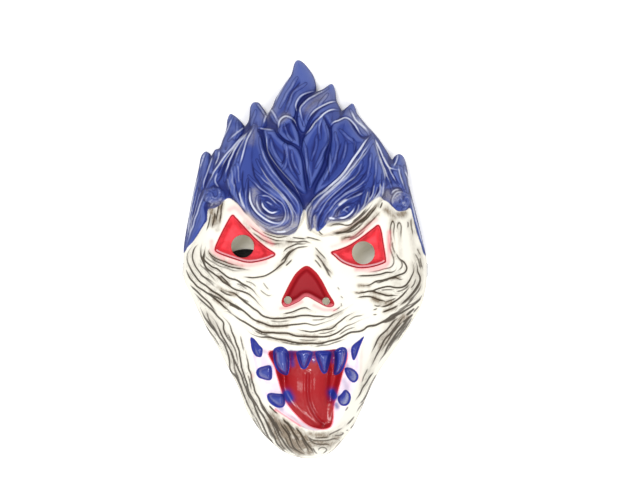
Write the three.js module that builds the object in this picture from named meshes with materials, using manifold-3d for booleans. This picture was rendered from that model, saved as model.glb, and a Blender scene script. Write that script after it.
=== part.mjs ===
import * as THREE from 'three';
import Module from 'manifold-3d';
import { mergeVertices } from 'three/addons/utils/BufferGeometryUtils.js';

// A ghoul-faced clown mask, formed from one thin plastic sheet, with an elastic head strap stapled inside.
// It lies on its rim: the rim is the plane z = 0, the face looks up +Z and the hair points to +Y.
// All sizes are millimetres.

// Sheet and rim
const WALL = 1.2;
const RIM_STEP = 3.6;
const EDGE_ROLL = 17;

// Through holes
const EYE_HOLE_RADIUS = 7.6;
const EYE_HOLES = [[-41.4, 8.7], [38.8, 4.4]];
const NOSTRIL_RADIUS = 2.5;
const NOSTRILS = [[-11.3, -26.9], [14, -27.7]];

// Strap and staples
const STRAP_WIDTH = 10;
const STRAP_THICKNESS = 1;
const STAPLE_WIDTH = 9;
const STAPLE_WIRE = 0.6;
const STAPLE_Y = -7;
const STAPLE_Z = 22;
const TEMPLE_X = 80.9;
const FIT_GAP = 0.3;

// Grid that the sheet is drawn on: a square of this side, halved GRID_LEVELS times, refined to TOLERANCE
const GRID_SIDE = 272;
const GRID_LEVELS = 7;
const TOLERANCE = 0.75;
const STEEPEST = 2.5;

// The rim seen from the front, clockwise. Each run is one smooth curve, and runs meet in sharp notches.
const RIM_RUNS = [
  // jaw, left temple and the first hair lobe
  [[4.7, -132.8], [-4, -132], [-15, -127.7], [-27, -117.5], [-35, -107], [-39.3, -100], [-43.6, -87],
    [-50.7, -73], [-58, -58.5], [-65, -46.5], [-71.3, -33.8], [-76.7, -21.5], [-79.9, -15.5],
    [-80.9, -10], [-80.9, -4], [-80.9, 2], [-80.2, 12], [-77.3, 29], [-74.7, 43], [-71, 60],
    [-69.3, 68.5], [-66.4, 71.8], [-64, 71], [-62.4, 69]],
  // two hair tips on the left
  [[-62.4, 69], [-60, 73], [-57, 74.3], [-55, 79.5], [-52.5, 87], [-51.8, 93], [-49.7, 97], [-46, 95],
    [-43, 92.2], [-40, 88.6]],
  [[-40, 88.6], [-37.5, 93], [-36.6, 101], [-34.6, 104.5], [-31, 104.5], [-28.5, 101.5], [-25.3, 97]],
  // crown: the tallest tip and the two beside it
  [[-25.3, 97], [-21.8, 101.8], [-19.5, 107.5], [-13.5, 117.3], [-9.3, 123], [-7, 130.8], [-4.4, 132.9],
    [-0.5, 130.6], [5, 123.5], [7.3, 117], [7.7, 111.8]],
  [[7.7, 111.8], [12, 113.6], [17.8, 117], [20.2, 112.5], [21.3, 105.5], [24.7, 99]],
  [[24.7, 99], [27.6, 101.2], [31.6, 104], [33.8, 100.5], [35, 97], [41.5, 89]],
  // the bare arc of rim behind the right brow, then the right lobe, temple and jaw
  [[41.5, 89], [47.5, 82.5], [52.5, 75.5], [58, 66.3]],
  [[58, 66.3], [60.2, 69], [63, 70.2], [66, 67.8], [68.2, 60], [70, 47], [75.3, 25.5], [79.8, 6],
    [80.9, 0], [80.9, -7], [80.9, -14], [79.9, -21], [77, -31.8], [70.7, -42.5], [63.3, -54.5],
    [56.7, -63.8], [49.3, -74.5], [43, -87], [36.7, -101.8], [31.3, -112.5], [24, -121.8],
    [17.3, -128.5], [10, -131.8], [4.7, -132.8]],
];

// Heights above the rim plane, against y
const CENTRE_PROFILE = [[-134, 30], [-125, 42], [-112, 52], [-92, 62], [-60, 70], [-38, 71], [-8, 66],
  [20, 63], [36, 59.5], [52, 55], [72, 47.5], [90, 39], [110, 28], [134, 17]];
const RIM_HEIGHT = [[-134, 14], [-100, 16], [-60, 22], [-20, 30], [10, 30], [60, 18], [100, 11], [134, 8]];
const DOME_HALF_WIDTH = [[-134, 34], [-110, 42], [-85, 54], [-55, 70], [-20, 90], [10, 92], [60, 84],
  [90, 64], [134, 40]];

// Broad forms: centre, radii along x and y, and height
const SWELLS = [
  { at: [-54, -20], reach: [20, 17], height: 4.5 },
  { at: [56, -22], reach: [20, 17], height: 4.5 },
  { at: [1, -42], reach: [38, 13], height: 4.5 },
  { at: [1, 6], reach: [11, 17], height: 5 },
  { at: [6, -121], reach: [20, 10], height: 3.5 },
  { at: [-40, 10], reach: [23, 14], height: -6 },
  { at: [37, 7], reach: [23, 14], height: -6 },
  { at: [-20, 36], reach: [16, 14], height: 4.5 },
  { at: [24, 32], reach: [18, 13], height: 4.5 },
];

// Recesses with a steep edge: outline, depth and the width of the sloping edge
const RECESSES = {
  eye_left: {
    outline: [[-48.5, 29.3], [-46, 27.8], [-42, 23.5], [-33.6, 14.6], [-26, 8.2], [-19.8, 3.6],
      [-23.3, 0.9], [-30.7, -1.3], [-38.7, -1.9], [-48.3, 0.8], [-57, 4], [-59.8, 6.6], [-57.5, 13],
      [-52.5, 23]],
    depth: 7, edge: 4.5,
  },
  eye_right: {
    outline: [[48.6, 22.8], [50.5, 19.5], [52, 11], [53.6, 0], [52.3, -2.4], [44, -5], [35, -5.5],
      [25.5, -2.4], [20, 2], [17.5, 4.8], [23, 6.7], [30, 9.7], [38, 15], [45, 20.4]],
    depth: 7, edge: 4.5,
  },
  nose: {
    outline: [[1, -4.3], [-5.3, -8.5], [-9.3, -14.5], [-13, -21.8], [-15.3, -27.1], [-14.4, -30.6],
      [-11.3, -31.1], [-4, -27.8], [1, -24.6], [7.3, -27.6], [14, -31.1], [18.2, -31.2], [19.3, -28.5],
      [15.7, -22.5], [11.3, -14], [6.7, -7.8]],
    depth: 7.5, edge: 4.5,
  },
  mouth: {
    outline: [[-36.3, -51], [-29, -57.2], [-22, -59.6], [-19, -57.8], [-15, -57.6], [-11.5, -59.8],
      [0, -60.2], [18, -60], [21.5, -58.4], [25, -57.6], [29, -58], [32, -55.5], [39.5, -50.5], [38, -57],
      [36.3, -64], [36.5, -77], [32.5, -88], [28, -99], [23, -107], [17, -112.6], [12, -114],
      [2, -113.5], [-8, -107.5], [-17, -101.5], [-24.5, -94.5], [-30.5, -84], [-34, -72]],
    depth: 6, edge: 4.5,
  },
  throat: {
    outline: [[-23, -60.6], [-20, -72], [-15.5, -88], [-11, -97], [-2, -107], [5, -111.3], [12, -112.8],
      [17, -111], [18.8, -106], [19.4, -97], [24.5, -78], [27, -60.4], [2, -60.8]],
    depth: 8, edge: 5,
  },
};

// Tongue: path, half width, height over the floor of the throat and share of its width left at the tip
const TONGUE = { path: [[2, -74], [1.5, -88], [5, -100], [12, -107]], half: 15, height: 5.5, tip: 0.8 };

// Teeth: outline, how far the top lies under the lips, how far the side falls from there, and its width
const TEETH = [
  {
    outline: [[-21, -61], [-20, -58.8], [-16.5, -57.7], [-13, -58.6], [-11, -61.5], [-10.3, -66],
      [-10.3, -71], [-11.2, -76], [-13.5, -76.6], [-17, -74.6], [-19.6, -71], [-20.8, -66]],
    below: 2, fall: 13, edge: 5,
  },
  {
    outline: [[-5.6, -61.5], [-3, -60.3], [0, -60.1], [3, -60.4], [5, -61.5], [4.4, -65], [3, -68.5],
      [1.4, -71.6], [-0.8, -72.8], [-2.8, -71.6], [-4.4, -68], [-5.2, -65]],
    below: 3, fall: 12, edge: 4.6,
  },
  {
    outline: [[7, -61.4], [10, -60.5], [14.5, -60.6], [17.4, -61.5], [17, -66.5], [15.7, -71.5],
      [14.4, -75], [12.4, -75.7], [10.5, -73.5], [8.8, -69], [7.4, -65]],
    below: 3, fall: 12, edge: 4.6,
  },
  {
    outline: [[19.6, -61.5], [21.4, -59.2], [24.5, -58], [27, -58.8], [28, -61.5], [27.4, -66.5],
      [26, -71], [23.5, -75], [21, -76.6], [19.2, -76], [19.4, -71.5], [19.8, -66]],
    below: 2, fall: 13, edge: 4.4,
  },
  {
    outline: [[-36, -51.8], [-33.5, -52.8], [-30.6, -56.4], [-28.2, -59.2], [-28.4, -63.2],
      [-29.6, -64.8], [-32.6, -64], [-34.9, -60.5], [-35.8, -56]],
    below: 1.5, fall: 5, edge: 3.5,
  },
  {
    outline: [[39.2, -51], [36, -53.5], [32.2, -56.5], [30.7, -59.2], [30.9, -63.5], [32.3, -67],
      [34.2, -64], [36, -59], [37.5, -55.2]],
    below: 1.5, fall: 5, edge: 3.2,
  },
  {
    outline: [[-32.4, -75], [-31, -72.3], [-27.5, -71], [-23.6, -70.2], [-22.1, -72], [-21.8, -75.5],
      [-22, -79], [-23.8, -80.2], [-28, -79.4], [-31, -78]],
    below: 1, fall: 6, edge: 4.2,
  },
  {
    outline: [[26.4, -72.3], [29.3, -71.8], [33, -73.5], [35.4, -76.8], [34.9, -80], [32.4, -81.8],
      [29.5, -80], [27.2, -76.4]],
    below: 1, fall: 6, edge: 4,
  },
  {
    outline: [[-25, -89.8], [-22.6, -88.7], [-18, -89.1], [-14.8, -89.4], [-13.4, -92], [-13.4, -96.5],
      [-15.5, -98.3], [-19, -98], [-22.6, -95.8], [-24.6, -93]],
    below: 0.5, fall: 7, edge: 4.6,
  },
  {
    outline: [[26.6, -86.6], [29.5, -88.6], [30.5, -91.5], [29.7, -95], [27.5, -97.1], [24.4, -97],
      [22.2, -94.6], [21.9, -91.5], [23.8, -89.6]],
    below: 0.5, fall: 7, edge: 4.2,
  },
];

// Cut-off locks at the temples: centre, radii and height
const STUBS = [
  { at: [-60, 42], reach: [7.5, 6], height: 3.5 },
  { at: [64, 38.5], reach: [6.5, 7], height: 3.5 },
];

// Locks of hair, from the back forward: outline, how far the edge stands over what lies beside it, and how
// far in from the edge that lift runs out
const LOCKS = [
  // crown and side tips
  {
    outline: [[-25, 97], [-21.8, 103], [-13.5, 119], [-7, 133], [0, 134], [8, 120], [9, 111], [2, 109.5],
      [-2, 106], [-5, 101], [-6, 95], [-10, 90], [-18, 88]],
    lift: 5, reach: 9,
  },
  {
    outline: [[9, 112], [18, 119], [23, 108], [21, 105.5], [12, 102], [7, 98], [3, 91], [0, 84], [-4, 86],
      [-6, 93], [-5, 100], [-1, 106], [4, 110]],
    lift: 4.4, reach: 8,
  },
  {
    outline: [[21, 106], [26, 101], [24, 94], [17, 88], [12, 94], [6, 91], [1, 84], [3, 92], [7, 98],
      [12, 102]],
    lift: 3.6, reach: 6,
  },
  {
    outline: [[25, 99], [31.6, 106], [36, 99], [43, 89], [44, 83], [38, 81], [33, 87], [29, 93], [24, 94]],
    lift: 4.4, reach: 8,
  },
  {
    outline: [[-25, 98], [-28, 103], [-32, 107], [-37, 104], [-38, 92], [-35, 86], [-29, 86], [-25, 90]],
    lift: 4, reach: 7,
  },
  {
    outline: [[-40, 90], [-45, 97], [-50, 99], [-54, 88], [-57, 75], [-52, 70], [-46, 78], [-41, 84]],
    lift: 4.4, reach: 8,
  },
  {
    outline: [[-57, 75], [-61, 73], [-63, 68], [-65, 58], [-60, 56], [-55, 62], [-51, 70]],
    lift: 3.4, reach: 6,
  },
  {
    outline: [[-63, 70], [-66, 73], [-71, 68], [-73, 52], [-68, 46], [-65, 56]],
    lift: 3.4, reach: 6,
  },
  {
    outline: [[58, 67], [63, 72], [68, 68], [71, 50], [66, 44], [62, 50], [57, 60]],
    lift: 3.8, reach: 7,
  },
  // locks between the brows
  {
    outline: [[-18.5, 84], [-17.5, 89], [-14.5, 93], [-10, 95.5], [-7, 91], [-4.5, 86], [-3, 80], [-3, 74],
      [-6, 75], [-10, 77], [-14, 79]],
    lift: 4.6, reach: 6,
  },
  {
    outline: [[11.5, 96.5], [6, 91], [1, 85], [-2, 79], [-3, 73], [-1, 64], [1, 56], [3, 47], [7, 52],
      [12, 62], [15, 73], [17, 82], [16, 88]],
    lift: 4.6, reach: 7,
  },
  {
    outline: [[-28, 85], [-24, 87], [-20, 86], [-17, 82], [-12, 78], [-8, 76.5], [-4, 73], [-1, 66],
      [0, 56], [1, 44], [-5, 46], [-12, 54], [-20, 64], [-26, 74]],
    lift: 4.6, reach: 7,
  },
  {
    outline: [[17, 88], [20, 91.5], [24, 94], [28, 94.5], [31, 91], [34, 86], [38, 81.5], [42, 80],
      [38, 73], [30, 62], [20, 51], [11, 45], [6, 43], [8, 51], [13, 60], [16, 72], [17, 82]],
    lift: 4.6, reach: 8,
  },
  // hair down the temples
  {
    outline: [[-46, 80], [-53, 72], [-60, 60], [-67, 48], [-72, 34], [-77, 18], [-82, 0], [-74, 12],
      [-66, 26], [-66, 36], [-58, 37], [-49, 40], [-50, 56], [-46, 68], [-38, 82]],
    lift: 3.4, reach: 8,
  },
  {
    outline: [[48, 80], [56, 66], [66, 60], [71, 42], [76, 22], [82, 0], [76, 14], [71, 30], [64, 46],
      [55, 46], [51, 42], [53, 56], [50, 70]],
    lift: 3.4, reach: 8,
  },
  // the two swept brow masses, foremost
  {
    outline: [[-34, 90], [-31, 86], [-28, 80], [-26, 73], [-20, 61], [-13, 51], [-6, 44], [-1, 36], [0, 29],
      [-3, 22], [-8, 18], [-14, 16], [-21, 16.5], [-28, 20], [-34, 25.5], [-40, 31.5], [-46, 38], [-50, 43],
      [-52, 52], [-49, 64], [-43, 76], [-37, 86]],
    lift: 6.6, reach: 13,
  },
  {
    outline: [[44.5, 83], [40, 78], [34, 69.5], [27, 60], [19, 51], [10, 44], [3, 37], [0.5, 30], [2, 22],
      [6, 17.5], [13, 15.5], [21, 17.5], [30, 21], [38, 26.5], [45, 33], [51, 40], [54, 48], [53, 60],
      [49, 71], [46.5, 80]],
    lift: 6.6, reach: 13,
  },
];

// Ropes of hair curled round the two brow knots
const CURLS = [
  { path: [[-33, 34], [-27, 26.5], [-19, 23.5], [-12, 26], [-9.5, 33], [-14, 40], [-22, 45], [-32, 52]],
    half: 2.6, height: 2.2 },
  { path: [[-28.5, 39.5], [-25, 33], [-19.5, 31], [-16, 33]], half: 2, height: 1.6 },
  { path: [[13, 22], [21, 21.5], [30, 25], [37, 32], [40, 41], [42, 52]], half: 2.6, height: 2.2 },
  { path: [[15, 27], [21, 34], [29, 38.5], [37, 42.5]], half: 2, height: 1.6 },
];

// Elastic strap: down the wall from the left temple, in one loose curve inside, up to the right temple
const STRAP_BED = 0.9;
const STRAP_INSET = TEMPLE_X - WALL - FIT_GAP - STRAP_THICKNESS / 2;
const STRAP_ROUTE = [
  [-STRAP_INSET, STAPLE_Y, 26], [-STRAP_INSET, STAPLE_Y, 21], [-78, STAPLE_Y, 15.5], [-74.6, STAPLE_Y, 9.6],
  [-69.4, STAPLE_Y, 4.6], [-62.5, -6.6, 1.6], [-55, -4.2, STRAP_BED], [-47.5, 0, STRAP_BED],
  [-40, 1.9, STRAP_BED], [-33.4, 0.4, STRAP_BED], [-28, -5.4, STRAP_BED], [-25, -15, STRAP_BED],
  [-22.6, -27.5, STRAP_BED], [-18.4, -40, STRAP_BED], [-10.5, -51.5, STRAP_BED], [1, -60, STRAP_BED],
  [15, -63.5, STRAP_BED], [28, -60.5, STRAP_BED], [38, -52, STRAP_BED], [45, -40.5, STRAP_BED],
  [50, -28, STRAP_BED], [55.5, -17, STRAP_BED], [61.5, -9.6, 1.5], [69.2, STAPLE_Y, 4.6],
  [74.6, STAPLE_Y, 9.6], [78, STAPLE_Y, 15.5], [STRAP_INSET, STAPLE_Y, 21], [STRAP_INSET, STAPLE_Y, 26],
];
const STRAP_STEPS = 60;

const wasm = await Module();
wasm.setup();

// Closed body from a closed geometry
function solid(geometry) {
  const bare = geometry.index ? geometry.toNonIndexed() : geometry.clone();
  for (const name of Object.keys(bare.attributes)) {
    if (name !== 'position') bare.deleteAttribute(name);
  }
  const merged = mergeVertices(bare, 1e-4);
  return new wasm.Manifold(new wasm.Mesh({
    numProp: 3,
    vertProperties: new Float32Array(merged.attributes.position.array),
    triVerts: new Uint32Array(merged.index.array),
  }));
}

// Geometry from a closed body
function surface(body) {
  const mesh = body.getMesh();
  const geometry = new THREE.BufferGeometry();
  geometry.setAttribute('position', new THREE.BufferAttribute(new Float32Array(mesh.vertProperties), 3));
  geometry.setIndex(new THREE.BufferAttribute(new Uint32Array(mesh.triVerts), 1));
  geometry.computeVertexNormals();
  return geometry;
}

function box(width, depth, height, x, y, z) {
  return solid(new THREE.BoxGeometry(width, depth, height).translate(x, y, z));
}

const vector = (point) => new THREE.Vector2(point[0], point[1]);
const smooth = (from, to, value) => THREE.MathUtils.smoothstep(value, from, to);

// Value of a profile of [y, value] points, on a smooth curve through them
function along(profile, y) {
  const last = profile.length - 1;
  if (y <= profile[0][0]) return profile[0][1];
  if (y >= profile[last][0]) return profile[last][1];
  const slope = (k) => {
    const before = profile[Math.max(0, k - 1)];
    const after = profile[Math.min(last, k + 1)];
    return (after[1] - before[1]) / (after[0] - before[0]);
  };
  const i = profile.findIndex((point) => point[0] > y) - 1;
  const [y0, v0] = profile[i];
  const [y1, v1] = profile[i + 1];
  const width = y1 - y0;
  const t = (y - y0) / width;
  return v0 * (1 + 2 * t) * (1 - t) ** 2 + slope(i) * width * t * (1 - t) ** 2
    + v1 * t * t * (3 - 2 * t) + slope(i + 1) * width * t * t * (t - 1);
}

// The rim outline as one closed list of points, about RIM_STEP apart
function rimOutline() {
  const points = [];
  for (const run of RIM_RUNS) {
    const curve = new THREE.SplineCurve(run.map(vector));
    const steps = Math.max(2, Math.round(curve.getLength() / RIM_STEP));
    const spaced = curve.getSpacedPoints(steps);
    spaced.pop();
    points.push(...spaced);
  }
  return points;
}

// The same outline moved inwards by a distance
function insetOutline(points, distance) {
  return points.map((point, i) => {
    const before = points[(i + points.length - 1) % points.length];
    const after = points[(i + 1) % points.length];
    const a = point.clone().sub(before).normalize();
    const b = after.clone().sub(point).normalize();
    const normal = new THREE.Vector2(a.y + b.y, -a.x - b.x).normalize();
    const stretch = Math.max(0.6, normal.x * a.y - normal.y * a.x);
    return point.clone().addScaledVector(normal, distance / stretch);
  });
}

// Distance from a point to a chain of points, and how far along the chain the nearest place is, 0 to 1
function nearest(point, chain, closed = false) {
  let best = Infinity;
  let share = 0;
  const count = closed ? chain.length : chain.length - 1;
  for (let i = 0; i < count; i += 1) {
    const a = chain[i];
    const b = chain[(i + 1) % chain.length];
    const dx = b.x - a.x;
    const dy = b.y - a.y;
    const reached = ((point.x - a.x) * dx + (point.y - a.y) * dy) / (dx * dx + dy * dy);
    const t = THREE.MathUtils.clamp(reached, 0, 1);
    const distance = Math.hypot(point.x - a.x - dx * t, point.y - a.y - dy * t);
    if (distance < best) {
      best = distance;
      share = (i + t) / count;
    }
  }
  return [best, share];
}

// Distance inside a closed outline, negative outside
function depthInside(point, chain) {
  let inside = false;
  for (let i = 0, j = chain.length - 1; i < chain.length; j = i, i += 1) {
    const a = chain[i];
    const b = chain[j];
    if ((a.y > point.y) !== (b.y > point.y)
      && point.x < ((b.x - a.x) * (point.y - a.y)) / (b.y - a.y) + a.x) inside = !inside;
  }
  const distance = nearest(point, chain, true)[0];
  return inside ? distance : -distance;
}

// Distance of a point from the middle of an oval form, as a share of its radii
function ovalAt(swell, x, y) {
  return Math.hypot((x - swell.at[0]) / swell.reach[0], (y - swell.at[1]) / swell.reach[1]);
}

// Points along the smooth curve through a few
const chain = (points) => new THREE.SplineCurve(points.map(vector)).getPoints(points.length * 4);
const loop = (points) => chain([...points, points[0]]);

const rim = rimOutline();
const recesses = Object.entries(RECESSES).map(([name, recess]) => (
  { ...recess, name, chain: loop(recess.outline) }
));
const locks = LOCKS.map((lock) => ({ ...lock, chain: loop(lock.outline) }));
const curls = CURLS.map((curl) => ({ ...curl, chain: chain(curl.path) }));
const tonguePath = chain(TONGUE.path);
const teeth = TEETH.map((tooth) => ({ ...tooth, chain: loop(tooth.outline) }));

// Height of the hair over the skull
function hairHeight(point) {
  let height = 0;
  for (const lock of locks) {
    const depth = depthInside(point, lock.chain);
    height += lock.lift * smooth(-0.4, 2.2, depth) * Math.exp(-Math.max(0, depth - 2.2) / lock.reach);
  }
  for (const stub of STUBS) {
    height += stub.height * (1 - smooth(0.72, 1.05, ovalAt(stub, point.x, point.y)));
  }
  for (const curl of curls) {
    const [distance, share] = nearest(point, curl.chain);
    const ends = Math.min(1, 6 * Math.min(share, 1 - share));
    height += curl.height * Math.max(0, 1 - (distance / curl.half) ** 2) * ends;
  }
  return height;
}

// Height of the tongue over the floor of the throat
function tongueHeight(point) {
  const [distance, share] = nearest(point, tonguePath);
  const half = TONGUE.half * (1 - (1 - TONGUE.tip) * share ** 2.2);
  return TONGUE.height * Math.sqrt(Math.max(0, 1 - (distance / half) ** 4));
}

// Depth of the teeth under the skin that the mouth is sunk into, endless where there is no tooth
function toothDepth(point) {
  let least = Infinity;
  for (const tooth of teeth) {
    const inward = depthInside(point, tooth.chain) / tooth.edge;
    if (inward > 0) {
      const round = Math.sqrt(1 - (1 - Math.min(1, inward)) ** 2);
      least = Math.min(least, tooth.below + tooth.fall * (1 - round));
    }
  }
  return least;
}

// Height of the face above the rim plane
function faceHeight(x, y) {
  const point = new THREE.Vector2(x, y);
  const edge = along(RIM_HEIGHT, y);
  const side = Math.min(1, Math.abs(x) / along(DOME_HALF_WIDTH, y));
  let dome = edge + (along(CENTRE_PROFILE, y) - edge) * (1 - side ** 2.3);
  for (const swell of SWELLS) dome += swell.height * Math.exp(-(ovalAt(swell, x, y) ** 2));
  const plain = dome;
  for (const recess of recesses) {
    const share = smooth(-0.3, recess.edge, depthInside(point, recess.chain));
    dome -= recess.depth * share;
    if (recess.name === 'throat') dome += tongueHeight(point) * share;
  }
  dome = Math.max(dome, plain - toothDepth(point)) + hairHeight(point);
  const inward = THREE.MathUtils.clamp(depthInside(point, rim) / EDGE_ROLL, 0, 1);
  return edge + (dome - edge) * Math.sqrt(1 - (1 - inward) ** 2);
}

// Grid heights evened out with their eight neighbours, as a formed sheet rounds its corners
function rounded(heights, row) {
  return heights.map((height, k) => {
    const i = k % row;
    const j = Math.floor(k / row);
    if (i === 0 || j === 0 || i === row - 1 || j === row - 1) return height;
    const sides = heights[k - 1] + heights[k + 1] + heights[k - row] + heights[k + row];
    const corners = heights[k - row - 1] + heights[k - row + 1] + heights[k + row - 1] + heights[k + row + 1];
    return (4 * height + 2 * sides + corners) / 16;
  });
}

// The square grid of heights, and the same grid moved in by the thickness of the sheet
function heightGrid() {
  const cells = 2 ** GRID_LEVELS;
  const step = GRID_SIDE / cells;
  const row = cells + 1;
  const place = (index) => index * step - GRID_SIDE / 2;
  const drawn = new Float64Array(row * row);
  const used = new Uint8Array(row * row);
  for (let j = 0; j < row; j += 1) {
    for (let i = 0; i < row; i += 1) {
      drawn[j * row + i] = faceHeight(place(i), place(j));
      used[j * row + i] = depthInside(new THREE.Vector2(place(i), place(j)), rim) > -step ? 1 : 0;
    }
  }
  const outer = rounded(drawn, row);
  const steepness = outer.map((height, k) => {
    const i = k % row;
    const j = Math.floor(k / row);
    const dx = (outer[j * row + Math.min(i + 1, cells)] - outer[j * row + Math.max(i - 1, 0)]) / (2 * step);
    const dy = (outer[Math.min(j + 1, cells) * row + i] - outer[Math.max(j - 1, 0) * row + i]) / (2 * step);
    return Math.hypot(1, dx, dy);
  });
  const inner = outer.map((height, k) => height - WALL * Math.min(STEEPEST, steepness[k]));
  return { cells, row, place, outer, inner, used, steepness };
}

// Right triangles over the grid, each halved across its long side while the surface departs from it
function refinedTriangles(grid) {
  const { cells, row, outer, used, steepness } = grid;
  const errors = new Float64Array(row * row);
  const measure = (ax, ay, bx, by, cx, cy) => {
    if (Math.abs(ax - cx) + Math.abs(ay - cy) === 1) return 0;
    const mx = (ax + bx) / 2;
    const my = (ay + by) / 2;
    const middle = my * row + mx;
    const sag = Math.abs((outer[ay * row + ax] + outer[by * row + bx]) / 2 - outer[middle]);
    let error = used[middle] ? sag / steepness[middle] : 0;
    error = Math.max(error, measure(cx, cy, ax, ay, mx, my), measure(bx, by, cx, cy, mx, my));
    errors[middle] = Math.max(errors[middle], error);
    return errors[middle];
  };
  const halves = [[0, 0, cells, cells, cells, 0], [cells, cells, 0, 0, 0, cells]];
  for (let pass = 0; pass < 2 * GRID_LEVELS; pass += 1) {
    for (const half of halves) measure(...half);
  }
  const triangles = [];
  const split = (ax, ay, bx, by, cx, cy) => {
    const mx = (ax + bx) / 2;
    const my = (ay + by) / 2;
    if (Math.abs(ax - cx) + Math.abs(ay - cy) > 1 && errors[my * row + mx] > TOLERANCE) {
      split(cx, cy, ax, ay, mx, my);
      split(bx, by, cx, cy, mx, my);
      return;
    }
    triangles.push([ay * row + ax, by * row + bx, cy * row + cx]);
  };
  for (const half of halves) split(...half);
  return triangles;
}

// Closed block under a height grid
function blockUnder(grid, heights, triangles, floor) {
  const { row, place } = grid;
  const corner = (k, z) => [place(k % row), place(Math.floor(k / row)), z];
  const faces = [];
  const edges = new Map();
  for (const [a, b, c] of triangles) {
    faces.push(corner(a, heights[a]), corner(c, heights[c]), corner(b, heights[b]));
    faces.push(corner(a, floor), corner(b, floor), corner(c, floor));
    for (const [p, q] of [[a, b], [b, c], [c, a]]) {
      const reverse = `${q},${p}`;
      if (edges.has(reverse)) edges.delete(reverse);
      else edges.set(`${p},${q}`, [p, q]);
    }
  }
  for (const [p, q] of edges.values()) {
    faces.push(corner(p, heights[p]), corner(q, heights[q]), corner(q, floor));
    faces.push(corner(p, heights[p]), corner(q, floor), corner(p, floor));
  }
  const geometry = new THREE.BufferGeometry();
  geometry.setAttribute('position', new THREE.Float32BufferAttribute(faces.flat(), 3));
  return solid(geometry);
}

function prism(points, from, to) {
  const shape = new THREE.Shape(points);
  const geometry = new THREE.ExtrudeGeometry(shape, { depth: to - from, bevelEnabled: false });
  return solid(geometry.translate(0, 0, from));
}

function drill(radius, x, y) {
  const geometry = new THREE.CylinderGeometry(radius, radius, 160, 24).rotateX(Math.PI / 2);
  return solid(geometry.translate(x, y, 40));
}

// The thin sheet, with the two slots that the staple legs of each temple pass through
function maskShell() {
  const grid = heightGrid();
  const triangles = refinedTriangles(grid);
  const block = blockUnder(grid, grid.outer, triangles, -20).intersect(prism(rim, 0, 120));
  const inside = insetOutline(rim, WALL);
  const hollow = blockUnder(grid, grid.inner, triangles, -20).intersect(prism(inside, -5, 120));
  let shell = block.subtract(hollow);
  for (const [x, y] of EYE_HOLES) shell = shell.subtract(drill(EYE_HOLE_RADIUS, x, y));
  for (const [x, y] of NOSTRILS) shell = shell.subtract(drill(NOSTRIL_RADIUS, x, y));
  for (const side of [-1, 1]) shell = shell.subtract(stapleLegs(side, FIT_GAP));
  return surface(shell);
}

const LEG_Y = STAPLE_WIDTH / 2 - STAPLE_WIRE / 2;
const CROWN_X = TEMPLE_X + FIT_GAP + STAPLE_WIRE / 2;
const CLINCH_X = STRAP_INSET - STRAP_THICKNESS / 2 - FIT_GAP - STAPLE_WIRE / 2;

// Both legs of one staple, grown by a gap where they are cut out of what they pass through
function stapleLegs(side, gap) {
  const length = CROWN_X - CLINCH_X;
  const thick = STAPLE_WIRE + 2 * gap;
  const legs = [-1, 1].map((end) => box(
    length, thick, thick, side * (CROWN_X + CLINCH_X) / 2, STAPLE_Y + end * LEG_Y, STAPLE_Z));
  return legs[0].add(legs[1]);
}

// A wire staple: crown outside the temple, legs through sheet and strap, ends folded together inside
function staple(side) {
  const crown = box(STAPLE_WIRE, STAPLE_WIDTH, STAPLE_WIRE, side * CROWN_X, STAPLE_Y, STAPLE_Z);
  let wire = crown.add(stapleLegs(side, 0));
  const fold = STAPLE_WIDTH * 0.42;
  for (const end of [-1, 1]) {
    const y = STAPLE_Y + end * (STAPLE_WIDTH / 2 - fold / 2);
    wire = wire.add(box(STAPLE_WIRE, fold, STAPLE_WIRE, side * CLINCH_X, y, STAPLE_Z));
  }
  return surface(wire);
}

// A route whose band stays level: its width runs across the route and never turns on edge
class LevelRoute extends THREE.CatmullRomCurve3 {
  computeFrenetFrames(segments) {
    const frames = { tangents: [], normals: [], binormals: [] };
    for (let i = 0; i <= segments; i += 1) {
      const tangent = this.getTangentAt(i / segments);
      const across = new THREE.Vector3(-tangent.y, tangent.x, 0);
      if (across.length() < 0.05) across.set(0, 1, 0);
      across.normalize();
      frames.tangents.push(tangent);
      frames.normals.push(across);
      frames.binormals.push(new THREE.Vector3().crossVectors(tangent, across));
    }
    return frames;
  }
}

// The flat band, rounded at its edges, cut out round the staple legs
function elasticStrap() {
  const points = STRAP_ROUTE.map((point) => new THREE.Vector3(...point));
  const curve = new LevelRoute(points, false, 'centripetal');
  const section = new THREE.Shape();
  const half = STRAP_WIDTH / 2;
  const thin = STRAP_THICKNESS / 2;
  section.moveTo(-half + thin, -thin);
  section.lineTo(half - thin, -thin);
  section.lineTo(half, -thin / 2);
  section.lineTo(half, thin / 2);
  section.lineTo(half - thin, thin);
  section.lineTo(-half + thin, thin);
  section.lineTo(-half, thin / 2);
  section.lineTo(-half, -thin / 2);
  section.closePath();
  const settings = { steps: STRAP_STEPS, bevelEnabled: false, extrudePath: curve };
  const band = new THREE.ExtrudeGeometry(section, settings);
  let strap = solid(band);
  for (const side of [-1, 1]) strap = strap.subtract(stapleLegs(side, FIT_GAP));
  return surface(strap);
}

function piece(name, geometry, color, roughness, metalness) {
  const mesh = new THREE.Mesh(geometry, new THREE.MeshStandardMaterial({ color, roughness, metalness }));
  mesh.name = name;
  return mesh;
}

const mask = new THREE.Group();
mask.add(piece('mask_shell', maskShell(), 0xf6f2e6, 0.4, 0));
mask.add(piece('elastic_strap', elasticStrap(), 0x17181c, 0.85, 0));
mask.add(piece('strap_staple_left', staple(-1), 0xb9bcc2, 0.3, 1));
mask.add(piece('strap_staple_right', staple(1), 0xb9bcc2, 0.3, 1));

export default mask;
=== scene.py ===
"""Clown mask: a thin plastic sheet with carved and painted relief, an elastic strap and two wire staples."""
import math

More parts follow.
